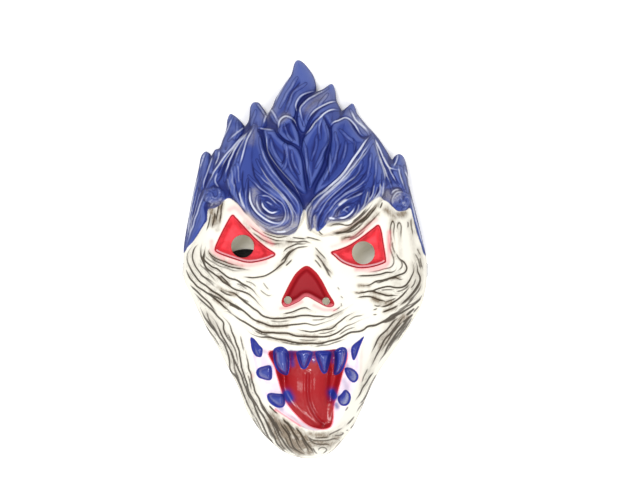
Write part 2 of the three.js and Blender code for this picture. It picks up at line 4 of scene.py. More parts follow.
import bmesh
import bpy
import numpy as np
from bpy.props import FloatProperty, FloatVectorProperty, IntProperty, PointerProperty
from bpy.types import Operator, Panel, PropertyGroup
from mathutils import Matrix, Vector


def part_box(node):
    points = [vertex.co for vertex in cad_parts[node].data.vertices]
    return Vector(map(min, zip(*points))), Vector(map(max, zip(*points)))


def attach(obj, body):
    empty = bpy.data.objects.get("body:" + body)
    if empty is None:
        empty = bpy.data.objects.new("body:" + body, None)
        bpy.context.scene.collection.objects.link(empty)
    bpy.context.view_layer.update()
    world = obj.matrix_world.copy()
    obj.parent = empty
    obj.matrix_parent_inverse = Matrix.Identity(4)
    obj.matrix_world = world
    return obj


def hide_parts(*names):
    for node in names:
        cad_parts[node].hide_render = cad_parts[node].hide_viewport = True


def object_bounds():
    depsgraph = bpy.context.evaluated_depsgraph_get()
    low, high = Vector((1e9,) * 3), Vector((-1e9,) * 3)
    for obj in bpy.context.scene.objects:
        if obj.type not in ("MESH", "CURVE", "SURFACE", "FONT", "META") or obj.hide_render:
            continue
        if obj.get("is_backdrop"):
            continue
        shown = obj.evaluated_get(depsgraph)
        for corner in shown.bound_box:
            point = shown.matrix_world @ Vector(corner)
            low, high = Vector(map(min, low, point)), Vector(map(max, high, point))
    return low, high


bl_info = {
    "name": "Clown mask",
    "version": (1, 0, 0),
    "blender": (4, 5, 0),
    "location": "3D View > Sidebar > Mask",
    "description": "Builds a painted plastic clown mask with its elastic strap",
    "category": "Object",
}

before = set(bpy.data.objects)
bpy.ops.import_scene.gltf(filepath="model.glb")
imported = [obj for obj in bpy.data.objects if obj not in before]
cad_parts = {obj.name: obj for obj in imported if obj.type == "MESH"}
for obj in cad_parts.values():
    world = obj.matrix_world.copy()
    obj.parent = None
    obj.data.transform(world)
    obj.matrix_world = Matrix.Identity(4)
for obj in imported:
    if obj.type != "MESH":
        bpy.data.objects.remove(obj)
CAD_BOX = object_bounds()

MM = 0.001
SEED = 7

# The mask lies on its rim: the rim is the plane z = 0, the face looks up +Z and the hair points to +Y.
# Everything down to the strap is in millimetres, as in the part's own source.
SHEET_HALF_WIDTH = 84.0
SHEET_HALF_LENGTH = 135.6
RASTER = 0.35
EDGE_ROLL = 17.0

# The rim seen from the front, clockwise. Each run is one smooth curve, and runs meet in sharp notches.
RIM_RUNS = (
    ((4.7, -132.8), (-4, -132), (-15, -127.7), (-27, -117.5), (-35, -107), (-39.3, -100), (-43.6, -87),
     (-50.7, -73), (-58, -58.5), (-65, -46.5), (-71.3, -33.8), (-76.7, -21.5), (-79.9, -15.5), (-80.9, -10),
     (-80.9, -4), (-80.9, 2), (-80.2, 12), (-77.3, 29), (-74.7, 43), (-71, 60), (-69.3, 68.5), (-66.4, 71.8),
     (-64, 71), (-62.4, 69)),
    ((-62.4, 69), (-60, 73), (-57, 74.3), (-55, 79.5), (-52.5, 87), (-51.8, 93), (-49.7, 97), (-46, 95),
     (-43, 92.2), (-40, 88.6)),
    ((-40, 88.6), (-37.5, 93), (-36.6, 101), (-34.6, 104.5), (-31, 104.5), (-28.5, 101.5), (-25.3, 97)),
    ((-25.3, 97), (-21.8, 101.8), (-19.5, 107.5), (-13.5, 117.3), (-9.3, 123), (-7, 130.8), (-4.4, 132.9),
     (-0.5, 130.6), (5, 123.5), (7.3, 117), (7.7, 111.8)),
    ((7.7, 111.8), (12, 113.6), (17.8, 117), (20.2, 112.5), (21.3, 105.5), (24.7, 99)),
    ((24.7, 99), (27.6, 101.2), (31.6, 104), (33.8, 100.5), (35, 97), (41.5, 89)),
    ((41.5, 89), (47.5, 82.5), (52.5, 75.5), (58, 66.3)),
    ((58, 66.3), (60.2, 69), (63, 70.2), (66, 67.8), (68.2, 60), (70, 47), (75.3, 25.5), (79.8, 6), (80.9, 0),
     (80.9, -7), (80.9, -14), (79.9, -21), (77, -31.8), (70.7, -42.5), (63.3, -54.5), (56.7, -63.8),
     (49.3, -74.5), (43, -87), (36.7, -101.8), (31.3, -112.5), (24, -121.8), (17.3, -128.5), (10, -131.8),
     (4.7, -132.8)),
)

# Heights above the rim plane, against y
CENTRE_PROFILE = ((-134, 30), (-125, 42), (-112, 52), (-92, 62), (-60, 70), (-38, 71), (-8, 66), (20, 63),
                  (36, 59.5), (52, 55), (72, 47.5), (90, 39), (110, 28), (134, 17))
RIM_HEIGHT = ((-134, 14), (-100, 16), (-60, 22), (-20, 30), (10, 30), (60, 18), (100, 11), (134, 8))
DOME_HALF_WIDTH = ((-134, 34), (-110, 42), (-85, 54), (-55, 70), (-20, 90), (10, 92), (60, 84), (90, 64),
                   (134, 40))

# Broad forms: centre, radii along x and y, height
SWELLS = (
    (-54, -20, 20, 17, 4.5), (56, -22, 20, 17, 4.5), (1, -42, 38, 13, 4.5), (1, 6, 11, 17, 5),
    (6, -121, 20, 10, 3.5), (-40, 10, 23, 14, -6), (37, 7, 23, 14, -6), (-20, 36, 16, 14, 4.5),
    (24, 32, 18, 13, 4.5),
)

# Recesses with a steep edge: outline, depth, width of the sloping edge
RECESSES = {
    "eye_left": (((-48.5, 29.3), (-46, 27.8), (-42, 23.5), (-33.6, 14.6), (-26, 8.2), (-19.8, 3.6),
                  (-23.3, 0.9), (-30.7, -1.3), (-38.7, -1.9), (-48.3, 0.8), (-57, 4), (-59.8, 6.6),
                  (-57.5, 13), (-52.5, 23)), 7, 4.5),
    "eye_right": (((48.6, 22.8), (50.5, 19.5), (52, 11), (53.6, 0), (52.3, -2.4), (44, -5), (35, -5.5),
                   (25.5, -2.4), (20, 2), (17.5, 4.8), (23, 6.7), (30, 9.7), (38, 15), (45, 20.4)), 7, 4.5),
    "nose": (((1, -4.3), (-5.3, -8.5), (-9.3, -14.5), (-13, -21.8), (-15.3, -27.1), (-14.4, -30.6),
              (-11.3, -31.1), (-4, -27.8), (1, -24.6), (7.3, -27.6), (14, -31.1), (18.2, -31.2),
              (19.3, -28.5), (15.7, -22.5), (11.3, -14), (6.7, -7.8)), 7.5, 4.5),
    "mouth": (((-36.3, -51), (-29, -57.2), (-22, -59.6), (-19, -57.8), (-15, -57.6), (-11.5, -59.8),
               (0, -60.2), (18, -60), (21.5, -58.4), (25, -57.6), (29, -58), (32, -55.5),
               (39.5, -50.5), (38, -57), (36.3, -64), (36.5, -77), (32.5, -88), (28, -99), (23, -107),
               (17, -112.6), (12, -114), (2, -113.5), (-8, -107.5), (-17, -101.5), (-24.5, -94.5),
               (-30.5, -84), (-34, -72)), 6, 4.5),
    "throat": (((-23, -60.6), (-20, -72), (-15.5, -88), (-11, -97), (-2, -107), (5, -111.3), (12, -112.8),
                (17, -111), (18.8, -106), (19.4, -97), (24.5, -78), (27, -60.4), (2, -60.8)), 8, 5),
}
EYE_HOLES = ((-41.4, 8.7), (38.8, 4.4))
EYE_HOLE_RADIUS = 7.6
NOSTRILS = ((-11.3, -26.9), (14, -27.7))
NOSTRIL_RADIUS = 2.5

# Tongue: path, half width, height, share of the width left at the end
TONGUE = (((2, -74), (1.5, -88), (5, -100), (12, -107)), 15, 5.5, 0.8)

# Teeth: outline, how far the top lies under the lips, how far the side falls from there, width of the side
TEETH = (
    (((-21, -61), (-20, -58.8), (-16.5, -57.7), (-13, -58.6), (-11, -61.5), (-10.3, -66), (-10.3, -71),
      (-11.2, -76), (-13.5, -76.6), (-17, -74.6), (-19.6, -71), (-20.8, -66)), 2, 13, 5),
    (((-5.6, -61.5), (-3, -60.3), (0, -60.1), (3, -60.4), (5, -61.5), (4.4, -65), (3, -68.5), (1.4, -71.6),
      (-0.8, -72.8), (-2.8, -71.6), (-4.4, -68), (-5.2, -65)), 3, 12, 4.6),
    (((7, -61.4), (10, -60.5), (14.5, -60.6), (17.4, -61.5), (17, -66.5), (15.7, -71.5), (14.4, -75),
      (12.4, -75.7), (10.5, -73.5), (8.8, -69), (7.4, -65)), 3, 12, 4.6),
    (((19.6, -61.5), (21.4, -59.2), (24.5, -58), (27, -58.8), (28, -61.5), (27.4, -66.5), (26, -71),
      (23.5, -75), (21, -76.6), (19.2, -76), (19.4, -71.5), (19.8, -66)), 2, 13, 4.4),
    (((-36, -51.8), (-33.5, -52.8), (-30.6, -56.4), (-28.2, -59.2), (-28.4, -63.2), (-29.6, -64.8),
      (-32.6, -64), (-34.9, -60.5), (-35.8, -56)), 1.5, 5, 3.5),
    (((39.2, -51), (36, -53.5), (32.2, -56.5), (30.7, -59.2), (30.9, -63.5), (32.3, -67), (34.2, -64),
      (36, -59), (37.5, -55.2)), 1.5, 5, 3.2),
    (((-32.4, -75), (-31, -72.3), (-27.5, -71), (-23.6, -70.2), (-22.1, -72), (-21.8, -75.5), (-22, -79),
      (-23.8, -80.2), (-28, -79.4), (-31, -78)), 1, 6, 4.2),
    (((26.4, -72.3), (29.3, -71.8), (33, -73.5), (35.4, -76.8), (34.9, -80), (32.4, -81.8), (29.5, -80),
      (27.2, -76.4)), 1, 6, 4),
    (((-25, -89.8), (-22.6, -88.7), (-18, -89.1), (-14.8, -89.4), (-13.4, -92), (-13.4, -96.5),
      (-15.5, -98.3), (-19, -98), (-22.6, -95.8), (-24.6, -93)), 0.5, 7, 4.6),
    (((26.6, -86.6), (29.5, -88.6), (30.5, -91.5), (29.7, -95), (27.5, -97.1), (24.4, -97), (22.2, -94.6),
      (21.9, -91.5), (23.8, -89.6)), 0.5, 7, 4.2),
)
TONGUE_FURROW = ((2, -76), (2, -90), (4, -98), (8, -105), (13, -110))

# Cut-off locks at the temples: centre, radii, height
STUBS = ((-60, 42, 7.5, 6, 3.5), (64, 38.5, 6.5, 7, 3.5))

# Locks of hair, from the back forward: outline, lift of the edge, how far in from the edge the lift runs out
LOCKS = (
    (((-25, 97), (-21.8, 103), (-13.5, 119), (-7, 133), (0, 134), (8, 120), (9, 111), (2, 109.5), (-2, 106),
      (-5, 101), (-6, 95), (-10, 90), (-18, 88)), 5, 9),
    (((9, 112), (18, 119), (23, 108), (21, 105.5), (12, 102), (7, 98), (3, 91), (0, 84), (-4, 86), (-6, 93),
      (-5, 100), (-1, 106), (4, 110)), 4.4, 8),
    (((21, 106), (26, 101), (24, 94), (17, 88), (12, 94), (6, 91), (1, 84), (3, 92), (7, 98), (12, 102)), 3.6, 6),
    (((25, 99), (31.6, 106), (36, 99), (43, 89), (44, 83), (38, 81), (33, 87), (29, 93), (24, 94)), 4.4, 8),
    (((-25, 98), (-28, 103), (-32, 107), (-37, 104), (-38, 92), (-35, 86), (-29, 86), (-25, 90)), 4, 7),
    (((-40, 90), (-45, 97), (-50, 99), (-54, 88), (-57, 75), (-52, 70), (-46, 78), (-41, 84)), 4.4, 8),
    (((-57, 75), (-61, 73), (-63, 68), (-65, 58), (-60, 56), (-55, 62), (-51, 70)), 3.4, 6),
    (((-63, 70), (-66, 73), (-71, 68), (-73, 52), (-68, 46), (-65, 56)), 3.4, 6),
    (((58, 67), (63, 72), (68, 68), (71, 50), (66, 44), (62, 50), (57, 60)), 3.8, 7),
    (((-18.5, 84), (-17.5, 89), (-14.5, 93), (-10, 95.5), (-7, 91), (-4.5, 86), (-3, 80), (-3, 74), (-6, 75),
      (-10, 77), (-14, 79)), 4.6, 6),
    (((11.5, 96.5), (6, 91), (1, 85), (-2, 79), (-3, 73), (-1, 64), (1, 56), (3, 47), (7, 52), (12, 62),
      (15, 73), (17, 82), (16, 88)), 4.6, 7),
    (((-28, 85), (-24, 87), (-20, 86), (-17, 82), (-12, 78), (-8, 76.5), (-4, 73), (-1, 66), (0, 56), (1, 44),
      (-5, 46), (-12, 54), (-20, 64), (-26, 74)), 4.6, 7),
    (((17, 88), (20, 91.5), (24, 94), (28, 94.5), (31, 91), (34, 86), (38, 81.5), (42, 80), (38, 73), (30, 62),
      (20, 51), (11, 45), (6, 43), (8, 51), (13, 60), (16, 72), (17, 82)), 4.6, 8),
    (((-46, 80), (-53, 72), (-60, 60), (-67, 48), (-72, 34), (-77, 18), (-82, 0), (-74, 12), (-66, 26),
      (-66, 36), (-58, 37), (-49, 40), (-50, 56), (-46, 68), (-38, 82)), 3.4, 8),
    (((48, 80), (56, 66), (66, 60), (71, 42), (76, 22), (82, 0), (76, 14), (71, 30), (64, 46), (55, 46),
      (51, 42), (53, 56), (50, 70)), 3.4, 8),
    (((-34, 90), (-31, 86), (-28, 80), (-26, 73), (-20, 61), (-13, 51), (-6, 44), (-1, 36), (0, 29), (-3, 22),
      (-8, 18), (-14, 16), (-21, 16.5), (-28, 20), (-34, 25.5), (-40, 31.5), (-46, 38), (-50, 43), (-52, 52),
      (-49, 64), (-43, 76), (-37, 86)), 6.6, 13),
    (((44.5, 83), (40, 78), (34, 69.5), (27, 60), (19, 51), (10, 44), (3, 37), (0.5, 30), (2, 22), (6, 17.5),
      (13, 15.5), (21, 17.5), (30, 21), (38, 26.5), (45, 33), (51, 40), (54, 48), (53, 60), (49, 71),
      (46.5, 80)), 6.6, 13),
)

# Ropes of hair curled round the two brow knots: path, half width, height
CURLS = (
    (((-33, 34), (-27, 26.5), (-19, 23.5), (-12, 26), (-9.5, 33), (-14, 40), (-22, 45), (-32, 52)), 2.6, 2.2),
    (((-28.5, 39.5), (-25, 33), (-19.5, 31), (-16, 33)), 2, 1.6),
    (((13, 22), (21, 21.5), (30, 25), (37, 32), (40, 41), (42, 52)), 2.6, 2.2),
    (((15, 27), (21, 34), (29, 38.5), (37, 42.5)), 2, 1.6),
)

# Border of the blue hair paint, from the left tail under the brows to the right tail, then round outside the rim
HAIR_BORDER = (
    (-86, 1), (-80.3, 4.5), (-78, 8), (-75, 11), (-72, 15), (-69.5, 19), (-67, 23), (-65, 26), (-64.8, 30),
    (-64, 33.5), (-60, 34), (-56, 36.5), (-53, 39.5), (-50, 40.5), (-46, 38), (-43, 35), (-40, 31), (-36, 28),
    (-31, 22.5), (-26, 18.5), (-20, 16.5), (-14, 16), (-9, 16.5), (-5.5, 19), (-3.2, 25), (-2, 30), (-0.5, 33),
    (1, 30), (1.2, 24), (3, 19), (6, 20.5), (8.2, 18.5), (10.5, 19.5), (12.5, 21.4), (15.5, 24), (22, 24.8),
    (28, 25.4), (32, 27.4), (36, 31), (40, 34.5), (43.5, 37.8), (47, 40.5), (50, 41.5), (52, 39.5), (55, 38),
    (58.5, 34.5), (62, 32), (67, 32.5), (70, 34), (71.5, 29), (73, 24), (75, 16), (77, 10),
    (79.5, 3), (86, 0), (95, 0), (95, 150), (-95, 150), (-95, 0),
)

# Carved grooves of the face: half width, depth, dark paint, how many fainter lines lie between, curves
FACE_GROOVES = (
    # long lines from the cheeks across the muzzle
    (0.6, 0.9, 1.0, 0, (
        ((-72.5, 10.5), (-76, 7.5), (-78, 3), (-78, -2), (-75.3, -7.5), (-72.5, -11.5), (-69.5, -15), (-66, -17.5),
         (-62, -20.3), (-58, -22.8), (-54, -26), (-50, -28.5), (-46, -30.5), (-43, -32.5), (-38, -36.5), (-34, -39.5),
         (-31, -41.2), (-27, -42.5), (-22, -44), (-15, -44), (-8, -43.2), (0, -42.4), (6, -43.4), (11, -42.4),
         (16.3, -40.4), (20.4, -38.8), (24, -35.7), (26, -33.7)),
        ((-57, -18.3), (-54, -20.2), (-50, -21.5), (-46, -23), (-43, -25.5), (-40, -28), (-36, -31), (-32, -34),
         (-29, -36.5), (-25, -38.3), (-20, -39.2), (-14, -38.8), (-9, -38.2), (-2, -37.2), (6, -37.3), (11, -37.8),
         (16.3, -37.8), (19.3, -36.3), (23, -34.7), (25.5, -33.2), (30, -31), (32, -29.3)),
        ((-56, -35), (-52, -34.6), (-48.5, -36.5), (-44, -39.2), (-40, -41.5), (-36, -44), (-33, -45.8), (-30, -47.3),
         (-27, -48.4), (-20, -48.5), (-12, -49), (-7, -50.2), (0, -51.1), (11, -51.2), (16.3, -50.6), (20.4, -49),
         (24.5, -46.5), (28, -44), (32.7, -42), (37.8, -40), (43, -38)),
        ((-40.6, -43.7), (-38.5, -46.6), (-35, -49.5), (-29, -51.4), (-21.4, -51.9), (-14.7, -53.2), (-7, -54.8),
         (0.8, -55.8), (8, -55.6), (14.3, -54.7), (22.6, -52.2), (26.5, -50), (30, -48.6), (34.7, -47.8), (38.8, -46.5),
         (42, -44.5), (47, -43.4), (52, -41), (57.3, -37.8), (62.4, -34.7), (67.5, -31.6), (72.7, -28.6), (76.8, -25),
         (78.8, -21.4), (79.8, -16)),
        ((-80, -4), (-78.5, -8.5), (-76, -13), (-73, -16.5), (-70.5, -18.7), (-66, -21.5), (-62, -24.5), (-58, -27.3),
         (-55, -30), (-52.5, -32.5), (-48, -36), (-44, -39)),
        ((-68.7, 12), (-69, 7), (-69, 3), (-68, -1), (-66.5, -4), (-64, -6.8), (-61, -9), (-57.5, -11.8), (-54, -15),
         (-50, -17.5), (-46, -20), (-42, -21), (-39, -22.3), (-36, -23.7), (-33, -26.5), (-30, -30), (-27, -33),
         (-24, -34.8)),
        ((-66, 10), (-67, 4), (-66.8, 0), (-64.5, -2.8), (-61.5, -5), (-58.5, -6), (-56, -8.2), (-53, -10.3),
         (-49.5, -12.5), (-45, -14), (-41.5, -16), (-38, -17.8), (-34.5, -20.3), (-32, -23.5), (-29.5, -26),
         (-27.5, -28.5)),
    )),
    (0.52, 0.8, 0.9, 0, (
        ((-70, 10.5), (-73.5, 7.5), (-74.6, 4), (-74.5, 0), (-73, -4), (-70.5, -8), (-67.5, -11), (-64, -13.2),
         (-61, -15.2), (-57, -18.3)),
        ((-7, -45.5), (-1, -47.4), (6.3, -47.7), (11, -46.8), (16.3, -46), (19.3, -44.5), (22.4, -41.9), (26.5, -38.3),
         (31.6, -35.7), (36.3, -34.2)),
        ((-15.6, -36.3), (-7, -34.2), (-0.2, -32), (3, -33), (6.6, -34.8)),
        ((-64.5, 3), (-60, -0.5), (-55, -3), (-50, -4.7), (-44, -6), (-38, -6.7), (-34, -6.8)),
        ((-63.4, 8), (-64, 5), (-61.5, 2.5), (-57, -0.2), (-52, -2), (-47, -3.5), (-42, -4.5)),
        ((-42.5, -11.2), (-37, -12), (-32, -12), (-27, -10.8), (-22, -8.5), (-18, -5.5), (-15, -2.5), (-11, 1.5)),
        ((-57, -10.2), (-53.4, -13.2), (-49, -16.6)), ((-57, -20), (-52, -22.8), (-47, -24.6)),
        ((-50.6, -29.6), (-46, -31.8), (-42, -34.4)), ((-64, -22), (-58, -25.4), (-53, -28.6)),
    )),
    (0.45, 0.6, 0.65, 0, (
        ((-70.6, -1), (-69, -4), (-66, -7), (-62.5, -10.5), (-59.5, -14), (-57.5, -17)),
        ((-66, 6), (-66, 2), (-63.5, -0.5), (-60, -2.5), (-56, -4.5), (-52, -6), (-47.5, -7.2), (-43, -7.7), (-38, -7.8)),
        ((-70, -10), (-66, -12.8), (-62, -16), (-58, -19.6)), ((-46, -15.6), (-41, -18), (-37, -20.6)),
        ((-44, -24.4), (-40, -26.6), (-36, -29)), ((-28, -15), (-25, -18.5), (-23, -20.5)),
        ((-30, -19.5), (-27, -22.5), (-24, -24), (-21, -23)), ((-40, -14), (-35, -16), (-31, -19)),
        ((-34, -46.6), (-29, -49.6), (-22, -50.2)), ((-24, -40.8), (-16, -41.2), (-8, -40.4)), ((-5, -52.8), (3, -53.6), (10, -53)),
        ((-16.6, -54.6), (-9, -56), (0, -57.2)), ((4.7, -58), (14.3, -56.6), (24, -53.7), (29, -52.2)),
        ((22, -50.4), (28, -46.6), (35, -44.4)), ((8, -49.2), (16, -48.2), (22, -45.4)), ((28, -40.6), (34, -37.8), (40, -36.4)),
        ((4, -40), (10, -39.8), (15, -39)), ((18, -34.6), (22, -32.6), (24, -30.4)), ((23.8, -28.5), (24.2, -30), (24.6, -31.6)),
        ((21.5, -18), (22.3, -19.2), (23, -20.5)), ((23.5, -24), (24.6, -25), (25.6, -26)),
    )),
    # left side of the jaw
    (0.58, 0.9, 1.0, 0, (
        ((-77, -16), (-74, -19.5), (-70, -23), (-66, -26.5), (-63, -29.5), (-60.5, -33), (-58, -36)),
        ((-75, -21.5), (-71, -25), (-67, -28.8), (-63, -32.5), (-60, -35.5), (-56.5, -39), (-54.3, -42), (-54, -46),
         (-52, -51), (-49, -56), (-46.6, -61)),
        ((-70.5, -28), (-69.5, -32), (-67.5, -37), (-64, -42.5), (-60.5, -47), (-57, -51.4), (-53, -58), (-50.6, -65),
         (-49.7, -73), (-45, -80), (-43, -84), (-40.8, -90), (-38, -97), (-36, -102), (-33.5, -107), (-31, -111)),
        ((-64.3, -36), (-61.5, -38.8), (-59, -42), (-57, -46.5), (-54.6, -51.6), (-50.6, -58), (-47.6, -65),
         (-44.7, -72), (-42.4, -77), (-40.8, -82), (-39, -86.4), (-37, -91.4), (-34, -96.4), (-31.3, -103), (-28, -110),
         (-25.2, -116), (-22.4, -122), (-19, -126)),
        ((-56.3, -35.2), (-55, -37.5), (-52, -40.5), (-50, -43.5), (-48.6, -47), (-47, -52), (-44.6, -58), (-43, -65),
         (-42, -72), (-40.2, -77.5), (-38.5, -83), (-37, -88.7), (-34, -93.7), (-30.8, -99.2), (-27.4, -104.8),
         (-24.7, -109.8), (-22.4, -114.8), (-19, -121.4), (-15.8, -125.3), (-10.8, -129.8)),
        ((-40, -58), (-38.4, -65), (-37.4, -72), (-35.8, -76.4), (-34.7, -82), (-33.6, -86.4), (-31.3, -91), (-29, -95.3),
         (-26.9, -99.2), (-23.6, -103.7), (-19.7, -109.8), (-17.4, -115.3), (-14.7, -120.3), (-10.8, -125.3),
         (-6.3, -129.8)),
    )),
    (0.48, 0.7, 0.75, 0, (
        ((-66, -33.5), (-64.5, -38), (-62.5, -42), (-60, -46), (-56.6, -50.6)), ((-64, -41), (-61, -44.5), (-58, -49)),
        ((-75, -28), (-72, -34), (-69, -40), (-66, -44.5), (-62, -50), (-57, -57), (-53, -65)),
        ((-52, -47), (-49.6, -53), (-46.6, -59), (-45, -66), (-43.4, -72)), ((-48, -72), (-44.7, -79), (-42, -87), (-39.7, -93),
         (-37, -98.7), (-34.7, -103)), ((-50, -60), (-47.6, -67), (-46.6, -73), (-43, -80)),
        ((-43, -50), (-41.6, -56), (-40.4, -62)), ((-31.3, -115.3), (-27, -121), (-22.4, -124.2), (-18, -127)),
        ((-34, -103), (-31, -109), (-27.4, -116), (-24, -121)), ((-38, -76), (-36.6, -82), (-35, -88)),
        ((-46, -76), (-43.4, -82), (-41, -88)), ((-40, -92), (-36.6, -99), (-32.6, -107)),
    )),
    # chin
    (0.58, 0.9, 1.0, 0, (
        ((-31, -94), (-28.5, -98.5), (-26, -101.5), (-24, -104.5), (-21.5, -108), (-19.5, -111), (-18, -114),
         (-16.5, -117.5), (-14.5, -121), (-12.5, -124), (-9.5, -127.5), (-6, -130), (-2, -131.3)),
        ((-34, -100), (-31.5, -103.5), (-29.5, -107.5), (-27.5, -111.5), (-26, -115), (-24.5, -118), (-22.5, -121),
         (-20.5, -124.3), (-18, -127)),
        ((-30, -102), (-27, -105.5), (-25, -109), (-23, -113), (-21, -116.5), (-20, -119.5), (-18.5, -122.5),
         (-16, -125.5), (-13.5, -128.3), (-10.5, -130.4)),
        ((-17, -106.6), (-15.5, -110), (-13.5, -113), (-11, -116.5), (-10, -119.5), (-8.5, -123), (-6.5, -126),
         (-4, -128), (-1, -129.5), (2.5, -131.3)),
        ((-15.2, -104.2), (-13, -107.5), (-11, -110), (-9, -113), (-6.5, -116.5), (-4.5, -119.5), (-3, -122.5),
         (-2.4, -123.8)),
        ((-7, -110.6), (-5, -113), (-3, -115.5), (-1, -118.5), (0.5, -121), (2.5, -124), (4.5, -127), (6.5, -130.5)),
        ((-24, -96.5), (-22.4, -98.6), (-20, -101), (-17.5, -103)),
        ((-9.2, -102), (-7, -104.8), (-4.5, -107.6), (-1.5, -110.2), (2.2, -113)),
    )),
    (0.5, 0.7, 0.7, 0, (
        ((-32, -114), (-28, -119.5), (-24, -123.5), (-20.6, -126)), ((-35.5, -104), (-32, -111), (-29, -116.5), (-25, -122)),
        ((-27, -99), (-24.6, -102.4), (-22, -105), (-19.8, -107.4)), ((-14.5, -108.5), (-12, -112.5), (-9.5, -116.5), (-8.6, -119)),
        ((-23.4, -106.6), (-21, -111), (-19.4, -115), (-17.6, -119.5), (-15, -124), (-11.6, -127.6), (-8, -130.4)),
        ((-20, -106.4), (-18, -110.6), (-15.6, -115), (-13.6, -119)), ((-13.6, -117), (-12, -121), (-9.6, -125), (-6.4, -128)),
        ((-8.4, -114.6), (-6, -119), (-4.6, -123), (-2, -126.6), (1, -129.4)), ((-2.6, -117.4), (-0.6, -122), (1.6, -126), (3.6, -130)),
        ((-26.4, -107.6), (-24.4, -112), (-22.6, -116.6), (-21.4, -120.6)), ((-12, -107), (-9, -111), (-6, -114.6)),
        ((0, -115.6), (3, -118.4), (6, -120.2), (10, -120.6), (15, -120.2), (19, -119.3), (22, -120), (23.8, -122),
         (23.2, -124.4)),
        ((1.6, -117.6), (4, -120.6), (7, -122.4), (11, -123), (15, -123), (17, -124.6), (16.6, -126.8)),
        ((5, -125), (6.8, -128), (9, -130)), ((8.6, -128), (9, -126), (11, -125), (13.4, -125.6), (14.4, -127), (12.4, -129), (9.6, -130)),
        ((19, -116.6), (21, -117), (24, -116.8), (25.6, -115.6), (23, -115)), ((27.2, -114.2), (28.2, -113.9), (29.2, -113.5)),
        ((23.7, -103.6), (22.6, -105.4), (21, -107)), ((28.7, -97.6), (27.6, -99.4), (26.4, -101)),
        ((29, -109.6), (31, -107), (33, -104.4)), ((30, -113), (32, -110.6), (33.6, -108.4)),
        ((15, -117), (20, -114.6), (26, -111.8)), ((6, -118), (11, -118.6), (17, -117.8)),
    )),
    # right side of the jaw
    (0.55, 0.9, 0.95, 0, (
        ((67, -37.3), (70, -34.7), (73.2, -32.7)), ((71, -37.8), (67.5, -41.4), (63.4, -46), (59.8, -51), (56, -57), (52, -64), (48, -71)),
        ((62.4, -38.3), (58.3, -42), (54.2, -47), (50, -50.6), (46.6, -57), (43, -64)), ((72.2, -36.3), (68.6, -39.3), (65, -42)),
        ((67.5, -37.3), (64.5, -39.3), (61.4, -43), (58.3, -47.5), (53.7, -52.4), (50, -59), (46, -67), (42.4, -74)),
        ((46, -74.2), (42, -79.8), (38.7, -85.3), (35.9, -90.3), (33, -94.8)), ((46, -83), (42, -88.7), (38.7, -93.7), (35.3, -97)),
        ((44.2, -90.3), (39.8, -98.7), (35, -107), (32, -112), (30.3, -114.8)),
    )),
    (0.48, 0.7, 0.75, 1, (
        ((65.5, -40), (60, -47), (54.6, -54.6), (49.6, -63)), ((69.6, -40.4), (64, -47.4), (58.6, -55), (53, -64)),
        ((71.6, -37.8), (68.6, -43), (65.5, -48), (60, -56)),
    )),
    (0.48, 0.7, 0.7, 0, (
        ((39.8, -94.2), (36.4, -98.7), (33.7, -102.6)), ((48, -76), (44, -83), (40.6, -89)), ((42, -72), (39.6, -77), (37, -83)),
        ((33, -104), (30, -108), (27, -111)),
    )),
    # right cheek, from the temple down beside the eye and round under it
    (0.56, 0.9, 1.0, 0, (
        ((33, -11.2), (38, -11), (44, -10.4), (50, -10), (54, -8.7), (58, -8.2), (60.5, -6.6), (61, -4.6)),
        ((61, 4), (63, 0.6), (65.4, -1.6), (67.4, -4.6), (67.6, -6.6), (66, -8.8), (62, -10.6), (58, -11.8), (52, -13.6),
         (47, -14.8), (42, -17), (38, -17.4), (34, -16.2)),
        ((30, -20.6), (33, -21.6), (35, -22.6), (38, -22), (42, -21), (45, -20.9), (48, -19.6), (52, -18.4), (56, -18),
         (60, -18.6), (64, -18.6), (67, -17.2), (69, -14.6), (70.4, -12), (72, -8.6), (72.4, -5.5), (71.6, -2), (70, 1.4)),
        ((42, -21), (45, -21.2), (48, -22), (51, -23), (55, -24), (59, -24), (63, -23.6)),
        ((34, -25.6), (38, -24.8), (41, -24.4), (44, -24.6), (46.5, -25.8), (49, -27), (52, -27.6), (56, -28.6)),
        ((49, -31.8), (52, -31.2), (56, -29.8), (60, -27.8), (63, -25.2), (66, -22.4), (68.4, -19.8), (70.4, -17)),
        ((51, -35.4), (54, -34.2), (57, -32.8), (60, -31.6), (62.5, -30)),
        ((62, -31.6), (66, -28), (70, -24), (73.6, -19.6), (75.8, -15.6), (76.4, -11.6), (75, -7.6), (74, -3), (73, 1)),
        ((79, -22), (76.6, -26), (73, -29.6), (69, -32.6), (64, -35.4), (59, -38), (55, -40.4), (50, -42.4), (47, -44),
         (42, -45.4)),
        ((73, -32.4), (70, -35.2), (67, -37.6)), ((70, -37.6), (67.4, -40), (64.6, -42.4)),
    )),
    (0.48, 0.7, 0.7, 0, (
        ((40, -8.6), (46, -7.8), (51, -6.8), (56, -5.5), (58.6, -3), (59, 0), (58, 3), (56.4, 8), (55.6, 14), (55.4, 19)),
        ((57, 8), (57.2, 14), (56.6, 20), (57.4, 24), (58.4, 25.4), (59.3, 23), (59, 18), (59.6, 13), (60.4, 9)),
        ((61.4, 19), (61.4, 22.5), (62.6, 24.6), (64, 22), (63.6, 17), (64.2, 12)), ((68.2, 25.5), (68.5, 23), (68.3, 20.3)),
        ((70.8, 28), (70.6, 23), (71.4, 18), (71.6, 14.6)), ((72, 28), (74, 20), (75.4, 14)), ((58, 12), (58.6, 7), (60, 3)),
        ((60.4, 5), (62, 1), (64, -1.6), (64.6, -4.4), (63, -6.6), (60, -8.2)), ((57.4, -13.2), (60, -12.4), (63, -13.2), (66, -12.6)),
